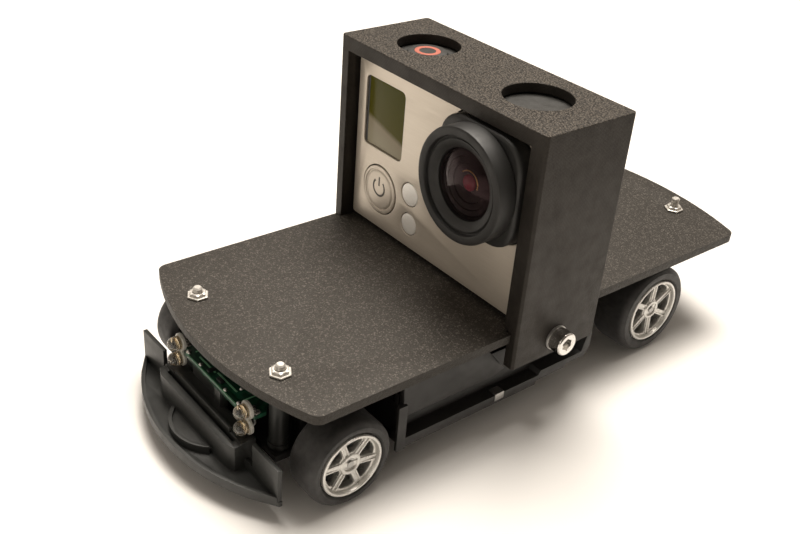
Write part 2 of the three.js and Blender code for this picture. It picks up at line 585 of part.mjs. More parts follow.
// The front glass: a shallow dome on a short round seat.
function lensGlass() {
  const seat = LENS.baseFront - SEAT;
  const r = LENS.ringIn - FIT;
  const edge = LENS.glassEdge;
  const rise = LENS.glassRise;
  const profile = [new THREE.Vector2(0, 0), new THREE.Vector2(r, 0), new THREE.Vector2(r, edge)];
  const dome = (r * r + rise * rise) / (2 * rise);
  const spread = Math.asin(r / dome);
  for (let step = 1; step <= 4; step += 1) {
    const angle = spread * (1 - step / 4);
    profile.push(new THREE.Vector2(dome * Math.sin(angle), edge + rise - dome * (1 - Math.cos(angle))));
  }
  profile[profile.length - 1].x = 0;
  return move(solid(new THREE.LatheGeometry(profile, 24).rotateX(Math.PI)), LENS.x, seat, LENS.z);
}

add('camera_body', cameraBody(), 0x33322f, 0.6, 0);
add('camera_face', cameraFace(), 0x9c968a, 0.4, 0.5);
add('lens_housing', panel(lensBaseShape(0), LENS.baseFront, CAMERA.front - SEAT, 6), 0x1c1c1d, 0.6, 0);
add('lens_ring', lensRing(), 0x202022, 0.5, 0);
add('lens_glass', lensGlass(), 0x2a1014, 0.05, 0);
add('screen_window', panel(screenShape(0), FACE.front + SCREEN.sunk, FACE.back, 3), 0x4d4f3a, 0.15, 0);
for (const window of STATUS_WINDOWS) {
  add(`${window.name}_status_window`,
    bar('y', window.r, FACE.front + WINDOW_PROUD, FACE.back, window.x, window.z, 16), 0xcfcdc6, 0.3, 0);
}
add('mode_button', bar('y', MODE_BUTTON.r, MODE_BUTTON.front, MODE_BUTTON.back,
  MODE_BUTTON.x, MODE_BUTTON.z, 28), 0xa49e92, 0.35, 0.6);
add('shutter_button', bar('z', SHUTTER.r, SHUTTER.bottom, SHUTTER.top, SHUTTER.x, SHUTTER.y, 20),
  0x2b2b2b, 0.5, 0);

// ---------------------------------------------------------------- wheels

// A tyre about X; x runs from the inner to the outer side wall.
function tyre(wheel) {
  const x1 = wheel.width / 2;
  const { shoulder } = TYRE;
  const inner = wheel.rimR + TYRE.gap;
  return turned([
    [inner, -x1], [wheel.tyreR - shoulder, -x1], [wheel.tyreR, -x1 + shoulder],
    [wheel.tyreR, x1 - shoulder], [wheel.tyreR - shoulder, x1], [inner, x1],
  ]);
}

// A rim about X: a barrel with a lip, a bored hub and the spokes between them.
function rim(wheel) {
  const face = wheel.width / 2 + RIM.proud;
  const barrel = wheel.rimR - RIM.wall;
  const back = -wheel.width / 2 + RIM.back;
  const ring = turned([
    [barrel, back], [wheel.rimR, back], [wheel.rimR, face],
    [wheel.rimR - RIM.lip, face], [barrel, face - RIM.lipDepth],
  ]);
  const hub = bar('x', RIM.hubR, face - RIM.hubIn - RIM.hubLength, face - RIM.hubIn, 0, 0, 18);
  const outline = polygon([
    [-RIM.rootHalf, RIM.rootR], [RIM.rootHalf, RIM.rootR],
    [RIM.tipHalf, barrel + RIM.tipSunk], [-RIM.tipHalf, barrel + RIM.tipSunk],
  ]);
  const spokes = [];
  for (let i = 0; i < SPOKES; i += 1) {
    const spoke = cheek(outline, face - RIM.spokeBack, face - RIM.spokeFront);
    spokes.push(spunAboutX(spoke, i * 2 * Math.PI / SPOKES));
  }
  return cut(join(ring, hub, ...spokes), bar('x', AXLE_R + FIT, back - 1, face - RIM.capBehind, 0, 0, 12));
}

function placeWheel(end, label, side, wheel) {
  const group = new THREE.Group();
  group.position.set(side * (wheel.face - wheel.width / 2), wheel.y, wheel.tyreR);
  group.rotation.z = side > 0 ? 0 : Math.PI;
  add(`${end}_${label}_tyre`, tyre(wheel), ...RUBBER, group);
  add(`${end}_${label}_rim`, rim(wheel), ...SILVER, group);
  car.add(group);
}

for (const [label, side] of [['left', 1], ['right', -1]]) {
  placeWheel('front', label, side, FRONT_WHEEL);
  placeWheel('rear', label, side, REAR_WHEEL);
}

// ---------------------------------------------------------------- steering

const TIE_ROD_Y = FRONT_AXLE_Y + STEER_ARM;

// A steering knuckle: a sleeve on the kingpin, a stub axle outwards and an arm back to the tie rod.
function knuckle(side) {
  const x = side * KINGPIN.x;
  const axle = FRONT_WHEEL.tyreR;
  const { r, top, bossR, boss, armHalf, armBottom, armTop, eyeR, pinR, pinBottom, pinTop } = KNUCKLE;
  const sleeve = join(
    bar('z', r, NOSE.top + FIT, top, x, FRONT_AXLE_Y),
    bar('x', AXLE_R, x, side * (FRONT_WHEEL.face - KNUCKLE.axleShort), FRONT_AXLE_Y, axle, 16),
    bar('x', bossR, x, side * (KINGPIN.x + boss), FRONT_AXLE_Y, axle, 20),
    box(x - armHalf, x + armHalf, FRONT_AXLE_Y, TIE_ROD_Y, armBottom, armTop),
    bar('z', eyeR, armBottom, armTop, x, TIE_ROD_Y, 16),
    bar('z', pinR, pinBottom, pinTop, x, TIE_ROD_Y, 12),
  );
  return cut(sleeve, bar('z', KINGPIN.r + KNUCKLE.gap, NOSE.top, top + 1, x, FRONT_AXLE_Y, 20));
}

function tieRod() {
  const { bottom, top, end, eyeR, hole, padStart, slotHalf, yokeHalf } = TIE_ROD;
  const front = TIE_ROD_Y - TIE_ROD.front;
  const back = TIE_ROD_Y - TIE_ROD.back;
  const pieces = [
    box(-end, end, front, back, bottom, top),
    box(-yokeHalf, yokeHalf, front, back, bottom, TIE_ROD.yokeTop),
  ];
  for (const side of [1, -1]) {
    pieces.push(bar('z', eyeR, bottom, top, side * KINGPIN.x, TIE_ROD_Y, 20));
    pieces.push(box(side * padStart, side * end, front, TIE_ROD_Y + TIE_ROD.padBack, bottom, top));
  }
  const eyes = [1, -1].map((side) => bar('z', hole, bottom - 1, top + 1, side * KINGPIN.x, TIE_ROD_Y, 20));
  const slot = box(-slotHalf, slotHalf, front - 1, back + 1, bottom - 1, TIE_ROD.slotTop);
  return cut(join(...pieces), ...eyes, slot);
}

function steeringServo() {
  return join(
    box(-SERVO.half, SERVO.half, TIE_ROD_Y + SERVO.front, SERVO.rear, FLOOR.top + SEAT, SERVO.top),
    bar('y', SERVO.shaftR, TIE_ROD_Y + SERVO.shaftFront, TIE_ROD_Y + SERVO.shaftBack, 0, HORN.z, 16),
  );
}

function servoHorn() {
  const y0 = TIE_ROD_Y + HORN.front;
  const y1 = TIE_ROD_Y + HORN.back;
  const tip = HORN.z + HORN.arm;
  return cut(
    join(
      bar('y', HORN.hubR, y0, y1, 0, HORN.z, 20),
      box(-HORN.armHalf, HORN.armHalf, y0, y1, HORN.z, tip),
      bar('y', HORN.armHalf, y0, y1, 0, tip, 16),
      bar('y', HORN.pinR, y0 - HORN.pinLength, y1, 0, tip, 12),
    ),
    bar('y', HORN.bore, y0 + HORN.floor, y1 + 1, 0, HORN.z, 16),
  );
}

// The upper arm: a flat plate that holds the tops of both kingpins.
function upperArm() {
  const { bottom, top, half, front, rear } = UPPER_ARM;
  const holes = [1, -1].map((side) =>
    bar('z', KINGPIN.r + FIT, bottom - 1, top + 1, side * KINGPIN.x, FRONT_AXLE_Y, 16));
  return cut(join(box(-half, half, front, rear, bottom, top), ...pinBosses(bottom, top)), ...holes);
}

add('upper_arm', upperArm(), ...MOULDED);
add('steering_servo', steeringServo(), 0x202022, 0.5, 0);
add('servo_horn', servoHorn(), 0xd8d4cc, 0.5, 0);
add('tie_rod', tieRod(), ...MOULDED);
for (const [label, side] of [['left', 1], ['right', -1]]) {
  add(`${label}_kingpin`, join(
    bar('z', KINGPIN.r, KINGPIN.bottom, KINGPIN.top, side * KINGPIN.x, FRONT_AXLE_Y, 16),
    bar('z', KINGPIN.headR, KINGPIN.headBottom, KINGPIN.top, side * KINGPIN.x, FRONT_AXLE_Y, 16),
  ), ...STEEL);
  add(`${label}_knuckle`, knuckle(side), ...MOULDED);
}

// ---------------------------------------------------------------- rear drive

// A spur gear about X with straight tooth flanks, turned so that a tooth or a gap faces the other gear.
function gear({ teeth, module, x0, x1 }, bore, phase) {
  const pitch = teeth * module / 2;
  const root = pitch - module * GEAR.dedendum;
  const tip = pitch + module * GEAR.addendum;
  const quarter = GEAR.backlash * Math.PI / (2 * teeth);
  const tooth = [[root, -GEAR.rootHalf], [tip, -GEAR.tipHalf], [tip, GEAR.tipHalf], [root, GEAR.rootHalf]];
  const outline = [];
  for (let i = 0; i < teeth; i += 1) {
    const middle = phase + i * 2 * Math.PI / teeth;
    for (const [radius, offset] of tooth) {
      const angle = middle + offset * quarter;
      outline.push([radius * Math.cos(angle), radius * Math.sin(angle)]);
    }
  }
  return cut(cheek(polygon(outline), x0, x1, 1), bar('x', bore, x0 - 1, x1 + 1, 0, 0, 16));
}

function motorPod() {
  const axleZ = REAR_WHEEL.tyreR;
  const { inner, outer, front, rear, top } = POD;
  const pieces = [
    box(-outer, outer, front, front + POD.frontWall, FLOOR.bottom, top),
    box(-outer, outer, rear - POD.rearWall, rear, POD.rearBottom, top),
  ];
  for (const side of [1, -1]) {
    pieces.push(box(side * inner, side * outer, front, rear, POD.bottom, top));
    pieces.push(bar('x', POD.bearingR, side * inner, side * outer, REAR_AXLE_Y, axleZ, 20));
  }
  return cut(
    join(...pieces),
    bar('x', AXLE_R + POD.axleGap, -outer - 1, outer + 1, REAR_AXLE_Y, axleZ, 20),
    bar('x', POD.motorHole, inner - 0.6, outer + 1, MOTOR.y, MOTOR.z, 24),
  );
}

// A can motor lying along X, flat above and below, with its shaft towards the left.
function driveMotor() {
  const { y, z, r, flat, half } = MOTOR;
  const clear = (z0, z1) => box(-half - 1, half + 1, y - r - 1, y + r + 1, z0, z1);
  const can = cut(
    bar('x', r, -half, half, y, z, 28),
    clear(z + flat, z + r + 1),
    clear(z - r - 1, z - flat),
    box(-half - 1, half + 1, REAR_AXLE_Y - MOTOR.axleGap, REAR_AXLE_Y + MOTOR.axleGap, z - r - 1, z + r + 1),
  );
  return join(
    can,
    bar('x', MOTOR.noseR, half - 0.2, MOTOR.nose, y, z, 20),
    bar('x', MOTOR.shaftR, MOTOR.nose - 1, MOTOR.shaftTip, y, z, 12),
  );
}

// The carrier behind the axle: two arms from the pod to a crosspiece under the rear deck posts.
function rearFrame() {
  const { bottom, top, overhang, front, armIn, armOut } = REAR_FRAME;
  const half = REAR_POST.x + overhang;
  const pieces = [
    box(-half, half, REAR_FRAME.crossFront, REAR_FRAME.crossRear, bottom, top),
    box(-armOut, armOut, front, REAR_FRAME.footRear, REAR_FRAME.footBottom, top),
  ];
  for (const side of [1, -1]) {
    pieces.push(box(side * armIn, side * armOut, front, REAR_FRAME.armRear, bottom, top));
  }
  return join(...pieces);
}

function rearAxle() {
  const end = REAR_WHEEL.face - AXLE.short;
  return join(
    bar('x', AXLE_R, -end, end, REAR_AXLE_Y, REAR_WHEEL.tyreR, 16),
    bar('x', AXLE.collarR, AXLE.collarIn, AXLE.collarOut, REAR_AXLE_Y, REAR_WHEEL.tyreR, 16),
  );
}

const gearLine = Math.atan2(MOTOR.z - REAR_WHEEL.tyreR, MOTOR.y - REAR_AXLE_Y);
add('motor_pod', motorPod(), ...MOULDED);
add('drive_motor', driveMotor(), 0x9d9c98, 0.35, 0.8);
add('rear_frame', rearFrame(), ...MOULDED);
add('rear_axle', rearAxle(), ...STEEL);
add('spur_gear', move(gear(SPUR, AXLE_R + FIT, gearLine), 0, REAR_AXLE_Y, REAR_WHEEL.tyreR), 0xd9d5ca, 0.5, 0);
add('motor_pinion', move(gear(PINION, MOTOR.shaftR + FIT, gearLine + Math.PI + Math.PI / PINION.teeth), 0,
  MOTOR.y, MOTOR.z), 0xb99b52, 0.4, 0.8);

export default car;
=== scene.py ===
# The looks of a small radio-controlled camera car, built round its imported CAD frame.
# Sizes are in millimetres in the helpers' arguments, and in metres in Blender.

import math

import bmesh
import bpy
from mathutils import Matrix, Vector


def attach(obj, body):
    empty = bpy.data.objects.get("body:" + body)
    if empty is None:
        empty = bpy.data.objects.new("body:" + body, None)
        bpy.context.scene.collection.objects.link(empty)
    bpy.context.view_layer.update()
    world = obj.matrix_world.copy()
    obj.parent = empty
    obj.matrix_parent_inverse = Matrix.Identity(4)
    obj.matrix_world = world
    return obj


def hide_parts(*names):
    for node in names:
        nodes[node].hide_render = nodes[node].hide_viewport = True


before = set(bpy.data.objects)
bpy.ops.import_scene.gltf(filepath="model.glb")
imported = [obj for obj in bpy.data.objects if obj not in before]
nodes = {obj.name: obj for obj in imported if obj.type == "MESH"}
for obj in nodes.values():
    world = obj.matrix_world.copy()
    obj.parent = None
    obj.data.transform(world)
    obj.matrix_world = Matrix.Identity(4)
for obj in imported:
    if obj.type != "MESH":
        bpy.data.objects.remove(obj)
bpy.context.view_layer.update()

MM = 0.001
scene = bpy.context.scene


# ---------------------------------------------------------------- camera, light and world

PHOTO_VIEW = {"location": (0.148746, -0.144280, 0.146152), "degrees": (58.783, -4.060, 51.578), "lens": 46.23}
SENSOR_WIDTH = 36
NEAREST, FARTHEST = 0.01, 20


def look(location, degrees, lens):
    """Places the camera in the photograph's pose."""
    data = bpy.data.cameras.new("photo_view")
    data.sensor_width = SENSOR_WIDTH
    data.lens = lens
    data.clip_start, data.clip_end = NEAREST, FARTHEST
    camera = bpy.data.objects.new("photo_view", data)
    camera.location = location
    camera.rotation_euler = [math.radians(a) for a in degrees]
    scene.collection.objects.link(camera)
    scene.camera = camera


def area_light(name, location, target, side, energy, colour):
    data = bpy.data.lights.new(name, "AREA")
    data.shape = "RECTANGLE"
    data.size = data.size_y = side
    data.energy = energy
    data.color = colour
    light = bpy.data.objects.new(name, data)
    light.location = location
    aim = Vector(target) - Vector(location)
    light.rotation_euler = aim.to_track_quat("-Z", "Y").to_euler()
    scene.collection.objects.link(light)


# The level direction away from the camera, and the world's colours towards the camera and away from it.
AWAY = (-0.756, 0.654, 0)
SKY_NEAR, SKY_FAR = (0.13, 0.112, 0.092, 1), (0.86, 0.765, 0.67, 1)
SKY_FROM, SKY_TO = -0.5, 0.9


def studio_world():
    """Soft light all round, brighter on the far side of the object."""
    world = bpy.data.worlds.new("studio")
    world.use_nodes = True
    tree = world.node_tree
    backdrop = tree.nodes["Background"]
    backdrop.inputs["Strength"].default_value = 1.0
    direction = tree.nodes.new("ShaderNodeTexCoord").outputs["Generated"]
    away = tree.nodes.new("ShaderNodeVectorMath")
    away.operation = "DOT_PRODUCT"
    away.inputs[1].default_value = AWAY
    tree.links.new(direction, away.inputs[0])
    amount = tree.nodes.new("ShaderNodeMapRange")
    amount.inputs["From Min"].default_value = SKY_FROM
    amount.inputs["From Max"].default_value = SKY_TO
    tree.links.new(away.outputs["Value"], amount.inputs["Value"])
    shade = tree.nodes.new("ShaderNodeValToRGB")
    shade.color_ramp.elements[0].color = SKY_NEAR
    shade.color_ramp.elements[1].color = SKY_FAR
    tree.links.new(amount.outputs["Result"], shade.inputs["Fac"])
    tree.links.new(shade.outputs["Color"], backdrop.inputs["Color"])
    scene.world = world


look(**PHOTO_VIEW)
area_light("overhead", (-0.15, 0.16, 0.80), (0, 0, 0), 0.42, 11.5, (1, 0.935, 0.85))
area_light("front", (0.25, -0.70, 0.30), (0, 0, 0.03), 0.5, 0.8, (1, 0.92, 0.82))
studio_world()
scene.view_settings.view_transform = "Standard"


# ---------------------------------------------------------------- materials

NOISE_ROUGHNESS = 0.55
# The period of Blender's band texture at a scale of 1.
WAVE_PERIOD = 0.314


class Finish:
    """A Principled material whose colour, roughness and bump come from procedural nodes."""

    def __init__(self, name, roughness=0.5, metallic=0.0, **sockets):
        self.material = bpy.data.materials.new(name)
        self.material.use_nodes = True
        self.tree = self.material.node_tree
        self.shader = self.tree.nodes["Principled BSDF"]
        self.shader.inputs["Roughness"].default_value = roughness
        self.shader.inputs["Metallic"].default_value = metallic
        for socket, value in sockets.items():
            self.shader.inputs[socket.replace("_", " ")].default_value = value
        self.place = self.tree.nodes.new("ShaderNodeTexCoord").outputs["Object"]

    def node(self, kind, **settings):
        made = self.tree.nodes.new("ShaderNode" + kind)
        for key, value in settings.items():
            setattr(made, key, value)
        return made

    def link(self, source, target):
        self.tree.links.new(source, target)

    def stretched(self, x, y, z):
        made = self.node("Mapping")
        made.inputs["Scale"].default_value = (x, y, z)
        self.link(self.place, made.inputs["Vector"])
        return made.outputs["Vector"]

    def noise(self, size, detail=3.0, vector=None):
        """Noise whose features are about size millimetres across."""
        made = self.node("TexNoise")
        made.inputs["Scale"].default_value = 1 / (size * MM)
        made.inputs["Detail"].default_value = detail
        made.inputs["Roughness"].default_value = NOISE_ROUGHNESS
        self.link(vector or self.place, made.inputs["Vector"])
        return made.outputs["Fac"]

    def cells(self, size, feature="F1"):
        made = self.node("TexVoronoi", feature=feature)
        made.inputs["Scale"].default_value = 1 / (size * MM)
        self.link(self.place, made.inputs["Vector"])
        return made.outputs["Distance"]

    def waves(self, pitch, axis, distortion):
        """Bands across an axis, pitch millimetres apart."""
        made = self.node("TexWave", wave_type="BANDS", bands_direction=axis)
        made.inputs["Scale"].default_value = WAVE_PERIOD / (pitch * MM)
        made.inputs["Distortion"].default_value = distortion
        made.inputs["Detail"].default_value = 1.0
        self.link(self.place, made.inputs["Vector"])
        return made.outputs["Fac"]

    def spread(self, value, low, high, to_low=0, to_high=1):
        made = self.node("MapRange")
        made.inputs["From Min"].default_value = low
        made.inputs["From Max"].default_value = high
        made.inputs["To Min"].default_value = to_low
        made.inputs["To Max"].default_value = to_high
        self.link(value, made.inputs["Value"])
        return made.outputs["Result"]

    def ramp(self, value, *stops):
        made = self.node("ValToRGB")
        band = made.color_ramp
        while len(band.elements) < len(stops):
            band.elements.new(1.0)
        for element, (place, colour) in zip(band.elements, stops):
            element.position = place
            element.color = (*colour, 1)
        self.link(value, made.inputs["Fac"])
        return made.outputs["Color"]

    def math(self, operation, a, b):
        made = self.node("Math", operation=operation)
        for socket, value in zip(made.inputs, (a, b)):
            if isinstance(value, (int, float)):
                socket.default_value = value
            else:
                self.link(value, socket)
        return made.outputs["Value"]

    def plus(self, a, b):
        return self.math("ADD", a, b)

    def minus(self, a, b):
        return self.math("SUBTRACT", a, b)

    def times(self, a, b):
        return self.math("MULTIPLY", a, b)

    def part(self, vector, axis):
        made = self.node("SeparateXYZ")
        self.link(vector, made.inputs["Vector"])
        return made.outputs[axis]

    def upward(self):
        """1 on faces that look up or down, 0 on upright ones."""
        return self.math("ABSOLUTE", self.part(self.node("TexCoord").outputs["Normal"], "Z"), 0)

    def colour(self, output):
        self.link(output, self.shader.inputs["Base Color"])

    def rough(self, value, low, high):
        self.link(self.spread(value, 0.3, 0.7, low, high), self.shader.inputs["Roughness"])

    def bump(self, height, depth):
        """Raises the surface by depth millimetres over the height's range."""
        made = self.node("Bump")
        made.inputs["Strength"].default_value = 1.0
        made.inputs["Distance"].default_value = depth * MM
        self.link(height, made.inputs["Height"])
        self.link(made.outputs["Normal"], self.shader.inputs["Normal"])


def moulded(name, dark, light, roughness=(0.38, 0.55), grain=0.5, depth=0.01):
    made = Finish(name)
    patch = made.noise(7, 4)
    made.colour(made.ramp(patch, (0.3, dark), (0.7, light)))
    made.rough(made.noise(2.5, 3), *roughness)
    made.bump(made.noise(grain, 3), depth)
    return made.material


def metal(name, dark, light, roughness=(0.22, 0.36), grain=0.25, depth=0.003, stretch=(1, 1, 1)):
    made = Finish(name, metallic=1.0)
    streaks = made.noise(grain, 3, vector=made.stretched(*stretch))
    made.colour(made.ramp(streaks, (0.3, dark), (0.7, light)))
    made.rough(made.noise(1.8, 3), *roughness)
    made.bump(streaks, depth)
    return made.material


def deck_sheet():
    """A textured black plastic with a grained bump. Where it faces up it is painted lighter and mottled, with pale
    specks as painted glints: painted sheen from the light above. Upright faces keep the dark ground.
    """
    made = Finish("deck_sheet_grain_and_glints", Specular_IOR_Level=0.40, Specular_Tint=(1.0, 0.95, 0.89, 1))
    # light is a painted sheen and speck a painted glint. The ramp below uses them only where faces look up.
    dark, light, painted_glint = (0.0205, 0.0178, 0.0148), (0.0325, 0.0285, 0.0240), (0.098, 0.087, 0.076)
    pebble = 0.38
    pebbles = made.cells(pebble)
    fine = made.noise(pebble * 0.55)
    mottle = made.noise(pebble * 1.5)
    glint_peaks = made.spread(made.minus(mottle, made.times(pebbles, 0.55)), 0.22, 0.42)
    made.colour(made.ramp(made.times(glint_peaks, made.upward()), (0.0, dark), (0.6, light), (1.0, painted_glint)))
    made.rough(made.noise(0.8, 2), 0.48, 0.62)
    made.bump(made.minus(made.times(fine, 0.5), pebbles), 0.07)
    return made.material


def printed():
    """A 3-D print: grained on top like the plate it was printed on, with fine layer lines up its sides. Its tops are
    painted lighter than its sides, as painted light from above.
    """
    made = Finish("printed_layers_lit_top", Specular_IOR_Level=0.3, Specular_Tint=(1.0, 0.94, 0.87, 1))
    dark, middle, light = (0.0105, 0.0088, 0.0074), (0.026, 0.0222, 0.0186), (0.115, 0.098, 0.080)
    upward = made.upward()
    across = made.minus(1.0, upward)
    grain = made.minus(made.noise(0.36), made.cells(0.46))
    lines = made.times(made.waves(0.3, "Z", 0.35), 0.13)
    # Painted light from above: the tops are lifted towards the light colour, with their grain in it, while the sides
    # stay dark.
    lit_top = made.times(made.plus(made.times(grain, 1.6), 0.38), upward)
    sides = made.times(made.times(made.noise(4), 0.3), across)
    made.colour(made.ramp(made.plus(lit_top, sides), (0.05, dark), (0.3, middle), (0.95, light)))
    made.rough(made.noise(3), 0.42, 0.56)
    made.bump(made.plus(made.times(grain, upward), made.times(lines, across)), 0.17)
    return made.material


def brushed_face():
    made = Finish("brushed_face", metallic=0.45)
    streaks = made.noise(0.22, 2, vector=made.stretched(0.03, 1, 1))
    made.colour(made.ramp(streaks, (0.2, (0.63, 0.565, 0.475)), (0.8, (0.69, 0.62, 0.53))))
    made.rough(made.noise(0.5, 2, vector=made.stretched(0.05, 1, 1)), 0.34, 0.44)
    made.bump(streaks, 0.004)
    return made.material


# The edge of the painted reflection on the screen, which is pale below it and dark above it: its slant, how far it
# wavers and the heights it lies between. The last three are in metres.
SCREEN_REFLECTION_SLANT, SCREEN_REFLECTION_WAVER, SCREEN_REFLECTION_LOW, SCREEN_REFLECTION_HIGH = 0.26, 0.0003, 0.0385, 0.0585


def screen_panel():
    """A grey-green liquid crystal panel, painted paler below a slanting edge: the pale part is a painted reflection.
    """
    made = Finish("screen_panel", roughness=0.2, Specular_IOR_Level=0.12)
    reflection_slope = made.plus(made.times(made.part(made.place, "X"), SCREEN_REFLECTION_SLANT), made.part(made.place, "Z"))
    edge = made.plus(reflection_slope, made.times(made.noise(0.8, 2), SCREEN_REFLECTION_WAVER))
    made.colour(made.ramp(
        made.spread(edge, SCREEN_REFLECTION_LOW, SCREEN_REFLECTION_HIGH),
        (0.0, (0.40, 0.37, 0.27)), (0.36, (0.32, 0.28, 0.20)),
        (0.43, (0.088, 0.080, 0.008)), (1.0, (0.066, 0.066, 0.007)),
    ))
    return made.material


def frosted_window():
    made = Finish("frosted_window", roughness=0.45, metallic=0.3, Coat_Weight=0.2)
    made.colour(made.ramp(made.noise(0.7, 2), (0.3, (0.96, 0.93, 0.87)), (0.7, (0.99, 0.97, 0.92))))
    made.bump(made.noise(0.4, 2), 0.004)
    return made.material


def rubber():
    made = Finish("tyre_rubber", Sheen_Weight=0.12, Sheen_Roughness=0.5)
    made.colour(made.ramp(made.noise(1.6, 4), (0.3, (0.012, 0.0115, 0.011)), (0.7, (0.028, 0.026, 0.025))))
    made.rough(made.noise(1.2, 3), 0.5, 0.68)
    made.bump(made.noise(0.18, 3), 0.02)
    return made.material


def circuit_board():
    made = Finish("circuit_board_mask", Coat_Weight=0.5, Coat_Roughness=0.15)
    tracks = made.cells(1.6, "SMOOTH_F1")
    pale, middle, dark = (0.006, 0.075, 0.035), (0.004, 0.042, 0.020), (0.003, 0.030, 0.015)
    made.colour(made.ramp(tracks, (0.28, pale), (0.36, middle), (0.8, dark)))
    made.rough(made.noise(1.0, 2), 0.3, 0.42)
    made.bump(tracks, 0.01)
    return made.material


def clear_lamp():
    made = Finish("clear_lamp", roughness=0.02, Transmission_Weight=0.94, IOR=1.5)
    made.colour(made.ramp(made.noise(0.8, 2), (0.3, (0.95, 0.93, 0.88)), (0.7, (0.9975, 0.9765, 0.924))))
    made.bump(made.noise(0.5, 2), 0.002)
    return made.material


def coated_glass():
    tint = (1.0, 0.6, 0.66, 1)
    made = Finish("coated_glass", roughness=0.01, Transmission_Weight=1.0, IOR=1.24, Specular_Tint=tint)
    made.colour(made.ramp(made.noise(6, 2), (0.35, (0.50, 0.36, 0.37)), (0.65, (0.60, 0.42, 0.43))))
    made.bump(made.noise(3, 1), 0.0005)
    return made.material


def cell_wrap():
    made = Finish("cell_wrap", metallic=0.35, Coat_Weight=0.4)
    made.colour(made.ramp(made.noise(3, 3), (0.3, (0.035, 0.075, 0.15)), (0.7, (0.06, 0.11, 0.2))))
    made.rough(made.noise(1.0, 2), 0.25, 0.4)
    made.bump(made.noise(0.6, 2), 0.005)
    return made.material


def painted_silver():
    made = Finish("rim_silver", metallic=0.75, Coat_Weight=0.35, Coat_Roughness=0.2)
    flakes = made.noise(0.3, 3)
    made.colour(made.ramp(flakes, (0.3, (0.60, 0.585, 0.555)), (0.7, (0.74, 0.725, 0.69))))
    made.rough(made.noise(1.5, 3), 0.26, 0.38)
    made.bump(flakes, 0.004)
    return made.material


def painted(name, colour, roughness, metallic=0.0):
    made = Finish(name, metallic=metallic)
    darker = tuple(c * 0.8 for c in colour)
    made.colour(made.ramp(made.noise(0.8, 3), (0.3, darker), (0.7, colour)))
    made.rough(made.noise(0.6, 2), roughness - 0.06, roughness + 0.08)
    made.bump(made.noise(0.3, 2), 0.004)
    return made.material


DECK = deck_sheet()
PRINT = printed()
MOULDED = moulded("moulded_black", (0.016, 0.0155, 0.015), (0.027, 0.026, 0.025))
TUB = moulded("tub_black", (0.0085, 0.0080, 0.0074), (0.0155, 0.0145, 0.0135), (0.42, 0.56))
SATIN = moulded("satin_black", (0.017, 0.0178, 0.0165), (0.031, 0.0325, 0.0305), (0.34, 0.48), 0.8, 0.012)
CASE = moulded("camera_case", (0.028, 0.027, 0.025), (0.042, 0.041, 0.038), (0.4, 0.55), 0.3, 0.008)
LENS_BLACK = moulded("lens_black", (0.0085, 0.0082, 0.0076), (0.014, 0.0135, 0.0125), (0.5, 0.6), 0.3, 0.004)
# Darker than the other blacks: the barrel's own black with painted shade deep inside the lens.
BARREL = moulded("barrel_black_and_shade", (0.0022, 0.0016, 0.0016), (0.004, 0.003, 0.003), (0.5, 0.6), 0.3, 0.003)
SERVO = moulded("servo_case", (0.010, 0.011, 0.014), (0.018, 0.019, 0.023), (0.3, 0.42), 0.4, 0.005)
NYLON = moulded("nylon", (0.56, 0.53, 0.47), (0.68, 0.65, 0.58), (0.4, 0.52), 0.6, 0.006)
FACE = brushed_face()
RUBBER = rubber()
RIM = painted_silver()
PLATED = painted("plated_nut", (0.74, 0.71, 0.66), 0.42, metallic=0.75)
STEEL = metal("bright_steel", (0.62, 0.60, 0.57), (0.82, 0.80, 0.77), (0.14, 0.26))
DULL_STEEL = metal("dull_steel", (0.38, 0.37, 0.36), (0.52, 0.51, 0.49), (0.3, 0.45))
ALUMINIUM = metal("bar_aluminium", (0.55, 0.55, 0.55), (0.68, 0.68, 0.67), (0.26, 0.4), 0.3, 0.004, (0.05, 1, 1))
CAN = metal("motor_can", (0.44, 0.43, 0.41), (0.57, 0.56, 0.54), (0.22, 0.34), 0.4, 0.003, (1, 0.1, 0.1))
BRASS = metal("brass", (0.50, 0.36, 0.13), (0.66, 0.49, 0.20), (0.24, 0.38))
BOARD = circuit_board()
SOLDER = metal("solder", (0.66, 0.65, 0.62), (0.84, 0.83, 0.80), (0.18, 0.32), 0.5, 0.02)
SCREEN = screen_panel()
FROSTED = frosted_window()
GLASS = coated_glass()
CLEAR = clear_lamp()
RED = painted("red_ring", (0.50, 0.15, 0.105), 0.45)
ENGRAVED = painted("engraved_dark", (0.10, 0.088, 0.072), 0.5)
CHIP = moulded("chip_black", (0.012, 0.012, 0.013), (0.020, 0.020, 0.021), (0.35, 0.5), 0.3, 0.006)
WHITE = painted("white_plastic", (0.72, 0.70, 0.64), 0.4)
TRACK = painted("pale_track", (0.22, 0.50, 0.30), 0.35)
GOLDEN = metal("lamp_cup", (0.50, 0.40, 0.26), (0.72, 0.60, 0.42), (0.16, 0.28), 0.3)
WRAP = cell_wrap()
PINK = painted("inner_coating", (0.20, 0.012, 0.03), 0.08)


# ---------------------------------------------------------------- mesh helpers

AXES = {"x": (1, 2, 0), "y": (0, 2, 1), "z": (0, 1, 2)}
# Vertices closer than this, in metres, are merged, and edges sharper than this are bevelled and shaded sharp.
MERGE, SHARP = 1e-6, math.radians(32)


def at(axis, along, u, v, centre):
    """A point from its distance along an axis and the other two coordinates in order."""
    point = [0.0, 0.0, 0.0]
    first, second, main = AXES[axis]
    point[first], point[second], point[main] = u, v, along
    return Vector([(p + c) * MM for p, c in zip(point, centre)])


def hexagon(angle):
    """How far a hexagon's edge is from its middle, against a circle that touches its flats."""
    third = math.pi / 3
    return 1 / math.cos((angle + third / 2) % third - third / 2)


